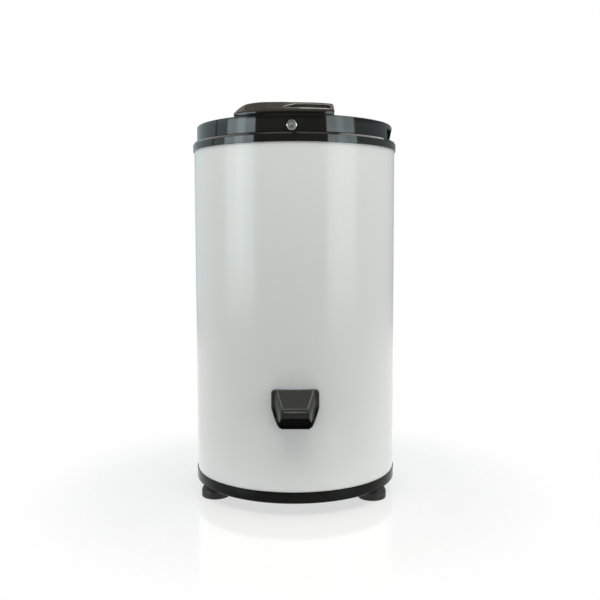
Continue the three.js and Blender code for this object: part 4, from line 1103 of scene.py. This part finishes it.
def bands(*table):
    """strength over elevation: a sum of soft windows (low edge, high edge, strength)"""
    total = None
    for lo, hi, k in table:
        v = w.math("MULTIPLY", w.window(el, lo, hi, 3, 3), k)
        total = v if total is None else w.math("ADD", total, v)
    return total


def summed(*parts):
    total = parts[0]
    for v in parts[1:]:
        total = w.math("ADD", total, v)
    return total


hot_l = w.math("MULTIPLY", w.window(az, -68, -57, 4, 4), w.math("MULTIPLY", w.window(el, -2, 27, 5, 3), 1.25))
hot_r = w.math("MULTIPLY", w.window(az, 49, 58, 4, 6), w.math("MULTIPLY", w.window(el, -2, 27, 5, 3), 0.70))
box_l = w.math("MULTIPLY", left, bands((-5, 5, 2.56), (5, 15, 2.74), (15, 27, 0.10)))
box_r = w.math("MULTIPLY", right, bands((-25, -5, 0.08), (-5, 5, 2.42), (5, 15, 2.20), (15, 27, 1.9), (27, 62, 0.22)))
front_l = w.math("MULTIPLY", w.window(az, L_EDGE, R_EDGE, 1.4, 1.6), bands((-5, 14, 0.10), (50, 64, 0.30)))
side_l = w.math("MULTIPLY", w.window(az, -158, -82, 6, 3), bands((-5, 12, 0.69), (12, 28, 0.90), (28, 62, 1.10)))
side_r = w.math("MULTIPLY", w.window(az, 72.5, 158, 2, 6), bands((-5, 12, 0.33), (12, 28, 0.11), (28, 62, 2.05)))
dark_l = w.math("SUBTRACT", 1.0, w.math("MULTIPLY", w.window(az, -102.6, -99.6, 1.2, 1.2), 0.7))
side_l = w.math("MULTIPLY", side_l, dark_l)
back_l = w.math("MULTIPLY", w.step(aaz, 154, 162), bands((-5, 62, 0.3)))
ceil_l = w.step(el, 60, 74, 0.0, 0.58)
ground = w.math("MULTIPLY", w.step(el, -9, -3, 1.0, 0.0), w.step(aaz, 60, 100, 0.38, 0.95))
total = summed(box_l, box_r, hot_l, hot_r, front_l, side_l, side_r, back_l, ceil_l, ground)
tint = w.n("ShaderNodeMix", data_type="RGBA")
w.link(w.math("MULTIPLY", w.step(aaz, 38, 44), w.window(el, -6, 30, 4, 6)), tint.inputs["Factor"])
tint.inputs[6].default_value = (1.04, 1.0, 0.955, 1)
tint.inputs[7].default_value = (0.84, 1.0, 1.035, 1)
lit = w.n("ShaderNodeBackground")
w.link(tint.outputs[2], lit.inputs["Color"])
w.link(total, lit.inputs["Strength"])
plain = w.n("ShaderNodeBackground")
plain.inputs["Color"].default_value = (1, 1, 1, 1)
plain.inputs["Strength"].default_value = 1.0
lp = w.n("ShaderNodeLightPath")
mixw = w.n("ShaderNodeMixShader")
w.link(lp.outputs["Is Camera Ray"], mixw.inputs[0])
w.link(lit.outputs[0], mixw.inputs[1])
w.link(plain.outputs[0], mixw.inputs[2])
w.link(mixw.outputs[0], wout.inputs[0])

# a soft lamp above and in front, which throws the spout's shadow down the casing
key_data = bpy.data.lights.new("key", "AREA")
key_data.shape = "RECTANGLE"
key_data.size, key_data.size_y = 1.3, 0.8
key_data.energy = 10.5
key_data.color = (1.0, 0.985, 0.95)
key_data.specular_factor = 0.0
key = bpy.data.objects.new("key", key_data)
key.location = (0.0, -0.5, 1.35)
key.visible_glossy = False
key.rotation_euler = (Vector((0, -0.17, 0.33)) - Vector(key.location)).to_track_quat("-Z", "Y").to_euler()
sc.collection.objects.link(key)
